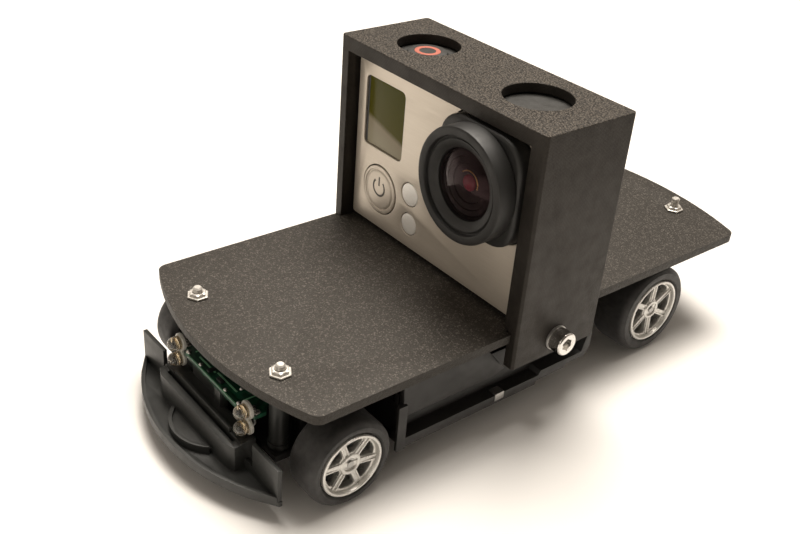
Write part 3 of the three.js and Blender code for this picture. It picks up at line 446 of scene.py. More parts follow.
def spun(bm, rings, axis="x", centre=(0, 0, 0), count=40, closed=False):
    """Skins rings of (along, radius[, shape of angle]). A ring of radius 0 is a point. closed joins last to first."""
    loops = []
    for along, radius, *shape in rings:
        if radius == 0:
            loops.append([bm.verts.new(at(axis, along, 0, 0, centre))])
            continue
        loop = []
        for i in range(count):
            angle = 2 * math.pi * i / count
            r = radius * (shape[0](angle) if shape else 1)
            loop.append(bm.verts.new(at(axis, along, r * math.cos(angle), r * math.sin(angle), centre)))
        loops.append(loop)
    pairs = list(zip(loops, loops[1:]))
    if closed:
        pairs.append((loops[-1], loops[0]))
    for a, b in pairs:
        for i in range(count):
            j = (i + 1) % count
            corners = [a[i % len(a)], a[j % len(a)], b[j % len(b)], b[i % len(b)]]
            unique = list(dict.fromkeys(corners))
            if len(unique) > 2:
                bm.faces.new(unique)
    bmesh.ops.recalc_face_normals(bm, faces=bm.faces)
    return bm


def moved(rings, start, way=1):
    """The rings with each distance along their axis measured from start, forwards or backwards."""
    return [(start + way * along, *rest) for along, *rest in rings]


def both_ends(rings, low, high):
    """The rings of one end, used at both ends of a piece from low to high."""
    return moved(rings, low) + moved(rings[::-1], high, -1)


def repeated(rings, axis, centres, count):
    bm = bmesh.new()
    for centre in centres:
        spun(bm, rings, axis, centre, count)
    return bm


def turns(start, sweep, steps):
    """Evenly spaced angles, both ends included."""
    return [start + sweep * k / steps for k in range(steps + 1)]


def block(bm, x0, x1, y0, y1, z0, z1):
    low = Vector((min(x0, x1), min(y0, y1), min(z0, z1)))
    high = Vector((max(x0, x1), max(y0, y1), max(z0, z1)))
    place = Matrix.Translation((low + high) / 2 * MM)
    bmesh.ops.create_cube(bm, size=1, matrix=place @ Matrix.Diagonal((*((high - low) * MM), 1)))
    return bm


# How deep small parts on a board are sunk in it.
SUNK = 0.05


def boxes(low, rows):
    """Boxes of (x, y, width, depth, height) that stand on one level."""
    bm = bmesh.new()
    for x, y, width, depth, height in rows:
        block(bm, x - width / 2, x + width / 2, y - depth / 2, y + depth / 2, low, low + height)
    return bm


def rounded(points, radius, steps=5):
    """The polygon with its corners rounded."""
    result = []
    total = len(points)
    for i, corner in enumerate(points):
        here = Vector(corner)
        before = Vector(points[i - 1]) - here
        after = Vector(points[(i + 1) % total]) - here
        reach = min(radius / math.tan(before.angle(after) / 2), before.length * 0.49, after.length * 0.49)
        start, end = here + before.normalized() * reach, here + after.normalized() * reach
        for k in range(steps + 1):
            t = k / steps
            result.append(start * (1 - t) ** 2 + here * 2 * t * (1 - t) + end * t ** 2)
    return result


def rectangle(x0, x1, y0, y1):
    return [(x0, y0), (x1, y0), (x1, y1), (x0, y1)]


def circle(x, y, radius, count):
    angles = (2 * math.pi * i / count for i in range(count))
    return [Vector((x + radius * math.cos(a), y + radius * math.sin(a))) for a in angles]


def plate(bm, outlines, low, high, axis, edge, change=None):
    """A flat piece across an axis, with outlines[1:] as its holes and rounded edges. change moves each vertex."""
    curve = bpy.data.curves.new("outline", "CURVE")
    curve.dimensions = "2D"
    curve.fill_mode = "BOTH"
    curve.extrude = (high - low) / 2 - edge
    curve.bevel_depth = edge
    curve.bevel_resolution = 2
    curve.offset = -edge
    for outline in outlines:
        spline = curve.splines.new("POLY")
        spline.points.add(len(outline) - 1)
        for point, (u, v) in zip(spline.points, outline):
            point.co = (u, v, 0, 1)
        spline.use_cyclic_u = True
    holder = bpy.data.objects.new("outline", curve)
    scene.collection.objects.link(holder)
    shape = bpy.data.meshes.new_from_object(holder.evaluated_get(bpy.context.evaluated_depsgraph_get()))
    bpy.data.objects.remove(holder)
    own = bmesh.new()
    own.from_mesh(shape)
    for vertex in own.verts:
        u, v, w = vertex.co
        vertex.co = at(axis, (low + high) / 2 + w, u, v, (0, 0, 0))
        if change:
            change(vertex)
    bmesh.ops.remove_doubles(own, verts=own.verts, dist=MERGE)
    bmesh.ops.recalc_face_normals(own, faces=own.faces)
    own.to_mesh(shape)
    own.free()
    bm.from_mesh(shape)
    bpy.data.meshes.remove(shape)
    return bm


def tube(bm, points, radius, sides=8):
    """A round wire through points in millimetres."""
    loops = []
    path = [Vector(p) for p in points]
    side = (path[1] - path[0]).orthogonal()
    for i, point in enumerate(path):
        heading = (path[min(i + 1, len(path) - 1)] - path[max(i - 1, 0)]).normalized()
        side = (side - heading * side.dot(heading)).normalized()
        up = heading.cross(side)
        loops.append([bm.verts.new((point + (side * math.cos(a) + up * math.sin(a)) * radius) * MM)
                      for a in turns(0, 2 * math.pi, sides)[:-1]])
    for a, b in zip(loops, loops[1:]):
        for i in range(sides):
            j = (i + 1) % sides
            bm.faces.new((a[i], a[j], b[j], b[i]))
    bm.faces.new(loops[0])
    bm.faces.new(loops[-1])
    bmesh.ops.recalc_face_normals(bm, faces=bm.faces)
    return bm


def copied(name):
    """A CAD node's mesh, merged and cleaned."""
    bm = bmesh.new()
    bm.from_mesh(nodes[name].data)
    bmesh.ops.remove_doubles(bm, verts=bm.verts, dist=MERGE)
    bmesh.ops.dissolve_limit(bm, angle_limit=math.radians(1), verts=bm.verts, edges=bm.edges)
    return bm


def piece(name, bm, material, body="chassis", stands_for=(), bevel=0, segments=2):
    """Makes one object from bm, with its sharp edges rounded by bevel millimetres."""
    if bevel:
        edges = [e for e in bm.edges if len(e.link_faces) == 2 and e.calc_face_angle(0) > SHARP]
        bmesh.ops.bevel(bm, geom=edges, offset=bevel * MM, segments=segments, profile=0.6, affect="EDGES",
                        clamp_overlap=True)
    mesh = bpy.data.meshes.new(name)
    bm.to_mesh(mesh)
    bm.free()
    mesh.polygons.foreach_set("use_smooth", [True] * len(mesh.polygons))
    mesh.set_sharp_from_angle(angle=SHARP)
    mesh.materials.append(material)
    made = bpy.data.objects.new(name, mesh)
    scene.collection.objects.link(made)
    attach(made, body)
    if stands_for:
        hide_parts(*stands_for)


def refined(node, material, body="chassis", bevel=0.15, segments=2):
    """A CAD node's own shape, with rounded edges."""
    piece(node + "_look", copied(node), material, body, (node,), bevel, segments)


# ---------------------------------------------------------------- floor

SWEEP_HALF_WIDTH, SWEEP_BACK, SWEEP_HEIGHT, SWEEP_BEND = 3.0, 1.6, 1.4, 0.5
SWEEP_STEPS, SWEEP_DEGREES = 8, 49


def floor():
    """A paper sweep that rises behind the object, square to the photograph's view."""
    bm = bmesh.new()
    profile = [(-SWEEP_HALF_WIDTH, 0.0)]
    for i in range(SWEEP_STEPS + 1):
        angle = math.pi / 2 * i / SWEEP_STEPS
        profile.append((SWEEP_BACK - SWEEP_BEND + SWEEP_BEND * math.sin(angle), SWEEP_BEND * (1 - math.cos(angle))))
    profile.append((SWEEP_BACK, SWEEP_HEIGHT))
    left, right = ([bm.verts.new((side, y, z)) for y, z in profile] for side in (-SWEEP_HALF_WIDTH, SWEEP_HALF_WIDTH))
    for i in range(len(profile) - 1):
        bm.faces.new((left[i], right[i], right[i + 1], left[i + 1]))
    mesh = bpy.data.meshes.new("paper_sweep")
    bm.to_mesh(mesh)
    bm.free()
    mesh.transform(Matrix.Rotation(math.radians(SWEEP_DEGREES), 4, "Z"))
    mesh.polygons.foreach_set("use_smooth", [True] * len(mesh.polygons))
    paper = Finish("white_paper")
    paper.colour(paper.ramp(paper.noise(60), (0.3, (0.80, 0.785, 0.765)), (0.7, (0.83, 0.815, 0.795))))
    paper.rough(paper.noise(20), 0.6, 0.75)
    paper.bump(paper.noise(1.5), 0.01)
    mesh.materials.append(paper.material)
    made = bpy.data.objects.new("paper_sweep", mesh)
    scene.collection.objects.link(made)


floor()


# ---------------------------------------------------------------- deck, posts and nuts

# A name and a sign of x for what is on both sides.
SIDES = (("left", 1), ("right", -1))

DECK_TOP = 25.3
POST_TOP = 23.1
# The left post's x and y, its foot, and how far its stud stands out of the deck.
POSTS = {"front": (16.05, -57.45, 7.7, 2.3), "rear": (12.6, 66.1, 17, 3.4)}
POST_END = ((0, 0), (0, 2.3), (0.1, 2.4), (1.2, 2.4), (1.3, 2.15))
STUD_RADIUS, THREAD_PITCH, THREAD_DEPTH, STUD_POINT = 1.0, 0.4, 0.11, 0.3
NUT_GAP = 0.02
FLANGE_NUT = ((0, 1.05), (0, 2.0, hexagon), (0.12, 2.12, hexagon), (0.42, 2.12, hexagon), (0.5, 2.0, hexagon),
              (0.5, 1.65, hexagon), (1.0, 1.65, hexagon), (1.15, 1.55), (1.15, 1.25), (1.0, 1.05))

refined("deck", DECK, bevel=0.25, segments=3)


def threaded(low, high):
    """Rings of a stud with a fine thread and a pointed end."""
    rings = [(low, 0), (low, STUD_RADIUS)]
    z = low + THREAD_PITCH
    while z < high - THREAD_PITCH:
        rings += [(z, STUD_RADIUS - THREAD_DEPTH), (z + THREAD_PITCH / 2, STUD_RADIUS)]
        z += THREAD_PITCH
    return rings + [(high - STUD_POINT, STUD_RADIUS), (high, STUD_RADIUS - STUD_POINT), (high, 0)]


for end, (post_x, post_y, foot, proud) in POSTS.items():
    for label, side in SIDES:
        centre = (side * post_x, post_y, 0)
        name = f"{end}_{label}_deck"
        bm = spun(bmesh.new(), both_ends(POST_END, foot, POST_TOP), "z", centre)
        piece(name + "_post_look", bm, SATIN, stands_for=(f"{name}_post",))
        bm = spun(bmesh.new(), threaded(POST_TOP, DECK_TOP + proud), "z", centre, 24)
        piece(name + "_stud", bm, PLATED)
        bm = spun(bmesh.new(), moved(FLANGE_NUT, DECK_TOP + NUT_GAP), "z", centre, 48, True)
        piece(name + "_nut_look", bm, PLATED, stands_for=(f"{name}_nut",))


# ---------------------------------------------------------------- chassis tub

FLOOR_SCREWS = ((-10, -20, 0), (10, -20, 0), (-24, 4, 0), (24, 4, 0), (0, 10, 0))
FLOOR_SCREW = ((7.2, 0), (6.95, 0.4), (6.95, 1.35), (7.1, 1.6), (7.3, 1.6), (7.3, 0))
CLIP_Y = (-11.8, -9.2)

refined("main_chassis", TUB, bevel=0.18)
piece("floor_screws", repeated(FLOOR_SCREW, "z", FLOOR_SCREWS, 24), STEEL)
for label, side in SIDES:
    refined(f"{label}_side_skirt", TUB, bevel=0.2)
    bm = block(bmesh.new(), side * 28.3, side * 30.5, *CLIP_Y, 9.35, 9.75)
    block(bm, side * 30.3, side * 30.55, *CLIP_Y, 7.9, 9.7)
    piece(f"{label}_floor_clip", bm, DULL_STEEL, bevel=0.1)

CELL_FRONT, CELL_BACK, CELL_Z, CELL_RECESS = -34.9, 9.6, 13.4, 0.8
CELL_END = ((CELL_RECESS, 0), (CELL_RECESS, 4.3), (0.9, 5.0), (1.2, 5.2))
CELL_TIP = ((-0.05, 0), (-0.05, 3.9), (0.1, 3.9), (0.12, 1.9), (0.6, 1.8), (0.68, 1.5), (0.68, 0))

# Each cell's x, the end its tip is on, and the way the tip points.
CELLS = (("inner", 9.3, CELL_BACK - CELL_RECESS, 1), ("outer", 20.1, CELL_FRONT + CELL_RECESS, -1))

for label, side in SIDES:
    for place, x, tip, way in CELLS:
        centre = (side * x, 0, CELL_Z)
        name = f"{label}_{place}_cell"
        bm = spun(bmesh.new(), both_ends(CELL_END, CELL_FRONT, CELL_BACK), "y", centre)
        piece(name + "_look", bm, WRAP, stands_for=(name,))
        piece(name + "_tip", spun(bmesh.new(), moved(CELL_TIP, tip, way), "y", centre, 28), STEEL)

RECEIVER_BOTTOM, RECEIVER_TOP = 19.2, 20.2
RECEIVER_CHIPS = ((0, -21, 12, 10, 1.3), (13.5, -26, 7, 8, 1.1), (3.5, -10.5, 3, 3, 0.8), (-2, -29.5, 2, 3, 0.7))
RECEIVER_PARTS = (
    *((-17 + i * 2.2, -10.5, 1.2, 0.7, 0.5) for i in range(5)),
    *((8, -12 - i * 2, 0.9, 1.4, 0.5) for i in range(4)),
    *((-15, -28 + i * 3, 2.0, 1.2, 0.6) for i in range(3)),
)

bm = block(bmesh.new(), -21, 21, -33, -5, RECEIVER_BOTTOM, RECEIVER_TOP)
piece("receiver_board_look", bm, BOARD, stands_for=("receiver_board",), bevel=0.08)
piece("receiver_chips", boxes(RECEIVER_TOP, RECEIVER_CHIPS), CHIP, bevel=0.12)
piece("receiver_parts", boxes(RECEIVER_TOP - SUNK, RECEIVER_PARTS), SOLDER, bevel=0.08)
refined("power_switch", CHIP, "power_switch")


# ---------------------------------------------------------------- bumper and lights

PLATEAU_X, PLATEAU_Y, PLATEAU_RADIUS = 0.5, -62.5, 9.6
PLATEAU_BACK = ((8.2, -66.5), (-7.2, -66.5))

refined("front_bumper", SATIN, bevel=0.22)
rim_line = [(PLATEAU_X + PLATEAU_RADIUS * math.cos(a), PLATEAU_Y + PLATEAU_RADIUS * math.sin(a))
            for a in turns(1.20 * math.pi, 0.6 * math.pi, 24)]
bm = plate(bmesh.new(), [rounded([*rim_line, *PLATEAU_BACK], 0.3, 3)], 4.7, 5.9, "z", 0.3)
piece("bumper_plateau", bm, SATIN)

LIGHT_BOARD_BOTTOM, LIGHT_BOARD_TOP = 15.5, 16.4
# Each solder joint's x, y, width and depth, on both sides.
SOLDER_JOINTS = ((12.7, -61.8, 1.5, 2.0), (14.3, -61.7, 1.4, 1.9), (10.2, -63.1, 1.6, 1.1), (10.4, -57.6, 1.0, 1.0),
                 (5.0, -63.2, 1.1, 0.9), (6.5, -60.2, 0.8, 1.3))
RESISTORS = ((-6.6, -58.5, 1.6, 0.9, 0.6), (-2.0, -62.4, 0.9, 1.7, 0.6), (2.0, -62.6, 1.8, 0.9, 0.6),
             (7.8, -57.2, 1.7, 0.9, 0.55))
TRACK_HEIGHT = 0.09
TRACKS = ((0, -63.72, 20, 0.3, TRACK_HEIGHT), (-4.3, -62.0, 6.5, 0.4, TRACK_HEIGHT),
          (3.0, -61.6, 7.5, 0.4, TRACK_HEIGHT), (-9.5, -59.6, 0.35, 4.5, TRACK_HEIGHT),
          (9.8, -59.8, 0.35, 4.2, TRACK_HEIGHT))


def oval(width, depth):
    return lambda angle: math.hypot(width / 2 * math.cos(angle), depth / 2 * math.sin(angle))


bm = copied("light_board")
block(bm, -11, 11, -63.9, -62.4, LIGHT_BOARD_BOTTOM, LIGHT_BOARD_TOP)
piece("light_board_look", bm, BOARD, stands_for=("light_board",), bevel=0.06)
bm = bmesh.new()
for label, side in SIDES:
    for x, y, width, depth in SOLDER_JOINTS:
        shape = oval(width, depth)
        joint = [(0, 0), *((0.5 * math.sin(a), math.cos(a), shape) for a in (0, 0.3, 0.7, 1.1)), (0.51, 0)]
        spun(bm, moved(joint, LIGHT_BOARD_TOP - SUNK), "z", (side * x, y, 0), 20)
piece("light_board_solder", bm, SOLDER)
piece("light_board_resistors", boxes(LIGHT_BOARD_TOP - SUNK, RESISTORS), CHIP, bevel=0.1)
piece("light_board_tracks", boxes(LIGHT_BOARD_TOP - 0.02, TRACKS), TRACK, bevel=0.03)

LAMP_X, LAMP_RADIUS, DOME_Y = 13.45, 1.5, -64.8
LAMP_BASE = ((-62.95, 0), (-62.95, 1.8), (-63.1, 1.9), (-63.5, 1.9), (-63.65, 1.75), (-63.65, 1.52))
LAMP_DOME = [(DOME_Y - LAMP_RADIUS * math.sin(a), LAMP_RADIUS * math.cos(a)) for a in turns(0, math.pi / 2, 8)[:-1]]
LAMP_TIP = (DOME_Y - LAMP_RADIUS, 0)
LAMP_CUP = ((-63.1, 0), (-63.1, 1.15), (-64.2, 1.25), (-64.25, 1.05), (-63.8, 0.4), (-63.8, 0))
LAMP_COLLAR = ((-62.9, 1.3), (-62.9, 1.93), (-63.45, 1.96), (-63.6, 1.7), (-63.6, 1.3))
LEAD_START, LEAD_RADIUS = -63.1, 0.26
# Each lamp's height, where its leads bend, where they end, how far the bend rises, and the level they reach.
LAMPS = (("upper", 17.2, -62.1, -61.8, -0.3, LIGHT_BOARD_TOP),
         ("lower", 13.3, -62.2, -61.9, 0.4, LIGHT_BOARD_BOTTOM + 0.1))

for label, side in SIDES:
    for level, z, bend, end, rise, board in LAMPS:
        name = f"{label}_{level}_lamp"
        x = side * LAMP_X
        centre = (x, 0, z)
        bm = spun(bmesh.new(), [*LAMP_BASE, *LAMP_DOME, LAMP_TIP], "y", centre, 32)
        piece(name + "_look", bm, CLEAR, stands_for=(name,))
        bm = spun(bmesh.new(), LAMP_CUP, "y", centre, 20)
        block(bm, x - 1.2, x - 0.8, -64.6, -63.0, z - 0.45, z + 0.2)
        piece(name + "_cup", bm, GOLDEN, bevel=0.04)
        piece(name + "_collar", spun(bmesh.new(), LAMP_COLLAR, "y", centre, 28, True), WHITE)
        bm = bmesh.new()
        for lead in (x - 0.62, x + 0.62):
            tube(bm, [(lead, LEAD_START, z), (lead, bend, z), (lead, end, z + rise), (lead, end, board)], LEAD_RADIUS)
        piece(name + "_leads", bm, SOLDER)


# ---------------------------------------------------------------- camera cage and its screws

CAGE_SCREW_AXIS = (0, 2.05, 21.0)
KNURLS, KNURL_DEPTH = 36, 0.022


def knurl(angle):
    return 1 - KNURL_DEPTH * (math.cos(angle * KNURLS) > 0)


CAGE_SCREW = ((24.2, 0), (24.2, 1.2), (33.2, 1.2), (33.2, 2.66), (33.3, 2.73), (33.5, 2.73, knurl),
              (35.7, 2.73, knurl), (35.95, 2.72), (36.2, 2.58), (36.3, 2.42), (36.3, 1.72), (36.2, 1.5),
              (36.15, 1.25, hexagon), (34.7, 1.25, hexagon), (34.2, 0))
WASHERS = ((32.66, 32.9), (32.92, 33.18))
WASHER_END = ((0, 1.5), (0, 2.85), (0.05, 2.92))
CROSS_BAR_REACH, CROSS_BAR_END = 29.6, ((0, 1.62), (0, 1.9), (0.2, 2.1))

refined("camera_cage", PRINT, bevel=0.32, segments=3)
for label, side in SIDES:
    name = f"{label}_cage_screw"
    bm = spun(bmesh.new(), moved(CAGE_SCREW, 0, side), "x", CAGE_SCREW_AXIS, 144)
    piece(name + "_look", bm, STEEL, stands_for=(name,))
    bm = bmesh.new()
    for washer in WASHERS:
        spun(bm, moved(both_ends(WASHER_END, *washer), 0, side), "x", CAGE_SCREW_AXIS, 40, True)
    piece(f"{label}_cage_washers", bm, DULL_STEEL)

rings = both_ends(CROSS_BAR_END, -CROSS_BAR_REACH, CROSS_BAR_REACH)
bm = spun(bmesh.new(), rings, "x", CAGE_SCREW_AXIS, 40, True)
piece("cross_bar_look", bm, ALUMINIUM, stands_for=("cross_bar",))


# ---------------------------------------------------------------- camera

refined("camera_body", CASE, bevel=0.45, segments=3)

# The back door, the latch with its grip ribs, the door's thumb notch and a small lamp.
CASE_BACK = 13.7
RIBS, RIB_PITCH, RIB_HEIGHT, FIRST_RIB = 5, 1.5, 0.7, 37

bm = plate(bmesh.new(), [rounded(rectangle(-26.8, 20.5, 28.4, 65.2), 3.2)], 13.72, 14.15, "y", 0.15)
piece("camera_back_door", bm, CASE)
bm = plate(bmesh.new(), [rounded(rectangle(22.2, 27.6, 33, 60.5), 1.6)], CASE_BACK, 13.95, "y", 0.1)
for rib in range(RIBS):
    z = FIRST_RIB + rib * RIB_PITCH
    plate(bm, [rounded(rectangle(22.9, 26.9, z, z + RIB_HEIGHT), 0.3)], 13.9, 14.1, "y", 0.06)
piece("camera_latch", bm, MOULDED)
bm = plate(bmesh.new(), [rounded(rectangle(-8, 2, 45, 50), 2.4)], 14.1, 14.3, "y", 0.08)
piece("camera_door_notch", bm, MOULDED)
bm = plate(bmesh.new(), [circle(24.9, 63, 0.9, 24)], CASE_BACK, 13.95, "y", 0.08)
piece("camera_back_lamp", bm, RED)

FACE_FRONT, FACE_BACK = -7.25, -6.45
BUTTON = (-19.25, 0, 36.1)
# Each status window's x, z, radius and hole.
STATUS_WINDOWS = (("upper", -8.4, 39.5, 2.75, 2.95), ("lower", -8.0, 32.1, 2.6, 2.8))

face_outlines = [
    rounded(rectangle(-29.1, 29.1, 26.2, 67.3), 0.9, 6),
    rounded(rectangle(-26.35, -12.35, 45.85, 62.55), 1.5),
    rounded(rectangle(3.0, 28.0, 41.8, 66.8), 7.6, 8),
    circle(BUTTON[0], BUTTON[2], 6.15, 56),
    *(circle(x, z, hole, 32) for name, x, z, radius, hole in STATUS_WINDOWS),
]
bm = plate(bmesh.new(), face_outlines, FACE_FRONT, FACE_BACK, "y", 0.14)
piece("camera_face_look", bm, FACE, stands_for=("camera_face",))

bm = plate(bmesh.new(), [rounded(rectangle(3.3, 27.7, 42.1, 66.5), 7.5, 10)], -11.0, FACE_BACK, "y", 0.9)
piece("lens_housing_look", bm, LENS_BLACK, stands_for=("lens_housing",))

LENS = (15.5, 0, 54.3)
LENS_RING = (
    (-11.05, 8.6), (-11.05, 11.95), (-11.25, 12.3), (-11.6, 12.4), (-15.25, 12.4), (-15.55, 12.28), (-15.72, 12.02),
    (-15.75, 11.8), (-15.75, 10.75), (-15.66, 10.5), (-15.4, 10.36), (-14.75, 10.3), (-14.7, 10.1), (-14.8, 9.8),
    (-15.0, 9.68), (-15.0, 9.5), (-14.1, 7.95), (-13.95, 7.75), (-13.4, 7.7), (-11.05, 7.7),
)
bm = spun(bmesh.new(), LENS_RING, "y", LENS, 96, True)
piece("lens_ring_look", bm, LENS_BLACK, stands_for=("lens_ring",))

# The front element is a clear dome. Behind it are the dark barrel's steps, part of a brass ring and a small coated
# inner element.
LENS_BARREL = ((-13.3, 7.68), (-12.9, 6.9), (-12.4, 6.7), (-12.3, 5.6), (-11.9, 5.4), (-11.8, 4.2), (-11.45, 4.0),
               (-11.3, 0))
piece("lens_barrel", spun(bmesh.new(), LENS_BARREL, "y", LENS, 64), BARREL)
arc = [(LENS[0] + 2.5 * math.sin(a), -11.75, LENS[2] + 2.5 * math.cos(a))
       for a in turns(math.radians(-50), math.radians(150), 20)]
piece("lens_inner_ring", tube(bmesh.new(), arc, 0.13), BRASS)
bead = [(-11.4 - 0.8 * math.cos(a), 1.7 * math.sin(a)) for a in turns(0, math.pi / 2, 8)]
bm = spun(bmesh.new(), [(bead[0][0], 0), *bead[1:]], "y", LENS, 48)
piece("lens_inner_element", bm, PINK)

GLASS_RADIUS, GLASS_RISE, GLASS_SEAT, GLASS_STEPS = 7.66, 1.7, -13.35, 12


def dome():
    """Rings of the lens glass, a shallow part of a ball that faces forward."""
    ball = (GLASS_RADIUS ** 2 + GLASS_RISE ** 2) / (2 * GLASS_RISE)
    half = math.asin(GLASS_RADIUS / ball)
    rings = []
    for k in range(GLASS_STEPS + 1):
        angle = half * (1 - k / GLASS_STEPS)
        y = GLASS_SEAT - (GLASS_RISE - ball * (1 - math.cos(angle)))
        rings.append((y, ball * math.sin(angle) if k < GLASS_STEPS else 0))
    return rings


bm = spun(bmesh.new(), dome(), "y", LENS, 64)
piece("lens_glass_look", bm, GLASS, stands_for=("lens_glass",))

bm = plate(bmesh.new(), [rounded(rectangle(-26.2, -12.5, 46, 62.4), 1.4)], -6.75, FACE_BACK, "y", 0.03)
piece("screen_panel_look", bm, SCREEN, stands_for=("screen_window",))
# A dark strip down the left edge of the screen opening only: painted shade on the opening's inner wall.
bm = plate(bmesh.new(), [rounded(rectangle(-26.25, -25.55, 46.1, 62.3), 0.2)], -6.8, -6.7, "y", 0.03)
piece("screen_left_shade_strip", bm, CHIP)

for name, x, z, radius, hole in STATUS_WINDOWS:
    rings = [(FACE_BACK, 0), (FACE_BACK, radius), (-7.05, radius), (-7.18, radius - 0.12), (-7.24, radius - 0.45),
             (-7.27, radius * 0.5), (-7.28, 0)]
    piece(f"{name}_status_look", spun(bmesh.new(), rings, "y", (x, 0, z), 40), FROSTED,
          stands_for=(f"{name}_status_window",))

MODE_BUTTON = ((-6.6, 0), (-6.6, 5.9), (-7.3, 5.9), (-7.42, 5.82), (-7.46, 5.65), (-7.46, 5.25), (-7.28, 5.1),
               (-7.28, 4.85), (-7.44, 4.65), (-7.5, 4.2), (-7.5, 0))
MARK_Y, MARK_RADIUS, MARK_RAISE, MARK_LINE, MARK_FLATNESS = -7.5, 2.05, 0.6, 0.27, 0.15
bm = spun(bmesh.new(), MODE_BUTTON, "y", BUTTON, 72)
piece("mode_button_look", bm, FACE, "mode_button", ("mode_button",))
arc = [(BUTTON[0] + MARK_RADIUS * math.sin(a), MARK_Y, BUTTON[2] + MARK_RAISE + MARK_RADIUS * math.cos(a))
       for a in turns(math.radians(42), math.radians(276), 24)]
bm = tube(bmesh.new(), arc, MARK_LINE)
tube(bm, [(BUTTON[0], MARK_Y, BUTTON[2] + 1.0), (BUTTON[0], MARK_Y, BUTTON[2] + 3.3)], MARK_LINE)
for vertex in bm.verts:
    vertex.co.y = (MARK_Y + (vertex.co.y / MM - MARK_Y) * MARK_FLATNESS) * MM
piece("mode_button_power_mark", bm, ENGRAVED, "mode_button")

SHUTTER = (-18.3, 3.2, 0)
SHUTTER_BUTTON = ((67.1, 0), (67.1, 4.6), (68.5, 4.6), (68.68, 4.5), (68.76, 4.25), (68.78, 3.1), (68.7, 3.0),
                  (68.7, 0))
SHUTTER_RING = ((68.66, 2.98), (68.78, 2.95), (68.8, 2.8), (68.8, 2.05), (68.78, 1.95), (68.66, 1.9))
bm = spun(bmesh.new(), SHUTTER_BUTTON, "z", SHUTTER, 56)
piece("shutter_button_look", bm, CASE, "shutter_button", ("shutter_button",))
bm = spun(bmesh.new(), SHUTTER_RING, "z", SHUTTER, 56, True)
piece("shutter_red_ring", bm, RED, "shutter_button")


# ---------------------------------------------------------------- wheels

# Each wheel is made about its own centre with its outer face towards +X. face is the outer face's distance from the
# car's middle.
WHEELS = {
    "front": {"turn": -0.148, "y": -50.65, "tyre": 9.8, "rim": 7.1, "width": 8.6, "face": 31.6},
    "rear": {"turn": 0.545, "y": 42.15, "tyre": 11.3, "rim": 8.1, "width": 10.4, "face": 29.2},
}
SPOKES = 6
RIM_PROUD = 0.1
RIM_WALL, BARREL_WALL = 0.85, 1.05
# The openings between the spokes: radius and half a spoke's width at their inner end, the same at their outer end
# from the disc's edge, and their bulge towards the edge.
OPENING_INNER, OPENING_OUTER = (2.75, 0.80), (0.55, 0.72)
BULGE_GAP, BULGE_ANGLE, OPENING_CORNER = 0.42, 0.14, 0.55
DISH_DEPTH, DISH_LEVEL = 0.35, 0.75
RAIL_START, RAIL_OFFSET, RAIL_HALF_WIDTH = 2.4, 0.52, 0.17
HUB = ((-5, 1.35), (-5, 2.2), (-1.6, 2.5), (-0.95, 2.45), (-0.75, 2.25), (-0.75, 1.75), (-0.9, 1.62), (-1.9, 1.6),
       (-1.95, 1.35))
WHEEL_NUT = ((-2.0, 0), (-2.0, 1.3, hexagon), (-1.25, 1.3, hexagon), (-1.1, 1.15), (-1.1, 0.8), (-0.85, 0.8),
             (-0.75, 0.7), (-0.75, 0))
# Distances in from the tyre's side, and down from its tread.
SHOULDER = ((0.05, 1.05), (0.18, 0.95), (0.28, 0.8), (0.6, 0.42), (1.05, 0.14), (1.7, 0.02), (2.4, 0))
# Distances in from the rim's face, and down from its edge.
RIM_FRONT = ((1.5, 0.3), (1.2, 0), (0.3, 0), (0.08, 0.12), (0, 0.34), (0.06, 0.6), (0.32, 0.74), (0.9, 0.8),
             (1.3, 0.95), (1.6, 1.05))
RIM_BACK = ((0, 0.9), (0, 0.1), (0.2, 0), (0.8, 0), (1.1, 0.3))


def tyre(wheel):
    half, tread, bead_seat = wheel["width"] / 2, wheel["tyre"], wheel["rim"] + 0.12
    outer = [(half - 1.3, bead_seat), (half - 0.75, bead_seat + 0.05), (half - 0.3, bead_seat + 0.3),
             (half - 0.06, bead_seat + 0.6), (half, (tread + bead_seat) / 2),
             *((half - x, tread - r) for x, r in SHOULDER)]
    rings = outer + [(-x, r) for x, r in reversed(outer)]
    return spun(bmesh.new(), rings, count=88, closed=True)


def spoke_opening(i, outer):
    """One opening between two spokes: two edges beside the spokes and a bulge towards the rim."""
    middle = 2 * math.pi * (i + 0.5) / SPOKES
    corners = []
    for r, half_width in (OPENING_INNER, (outer - OPENING_OUTER[0], OPENING_OUTER[1])):
        lean = math.asin(half_width / r)
        edges = (middle - math.pi / SPOKES + lean, middle + math.pi / SPOKES - lean)
        corners.append([(r * math.cos(a), r * math.sin(a)) for a in edges])
    reach = outer - BULGE_GAP
    bulge = [(reach * math.cos(middle + a), reach * math.sin(middle + a)) for a in (-BULGE_ANGLE, BULGE_ANGLE)]
    (inner_first, inner_last), (outer_first, outer_last) = corners
    return rounded([inner_first, outer_first, *bulge, outer_last, inner_last], OPENING_CORNER, 4)


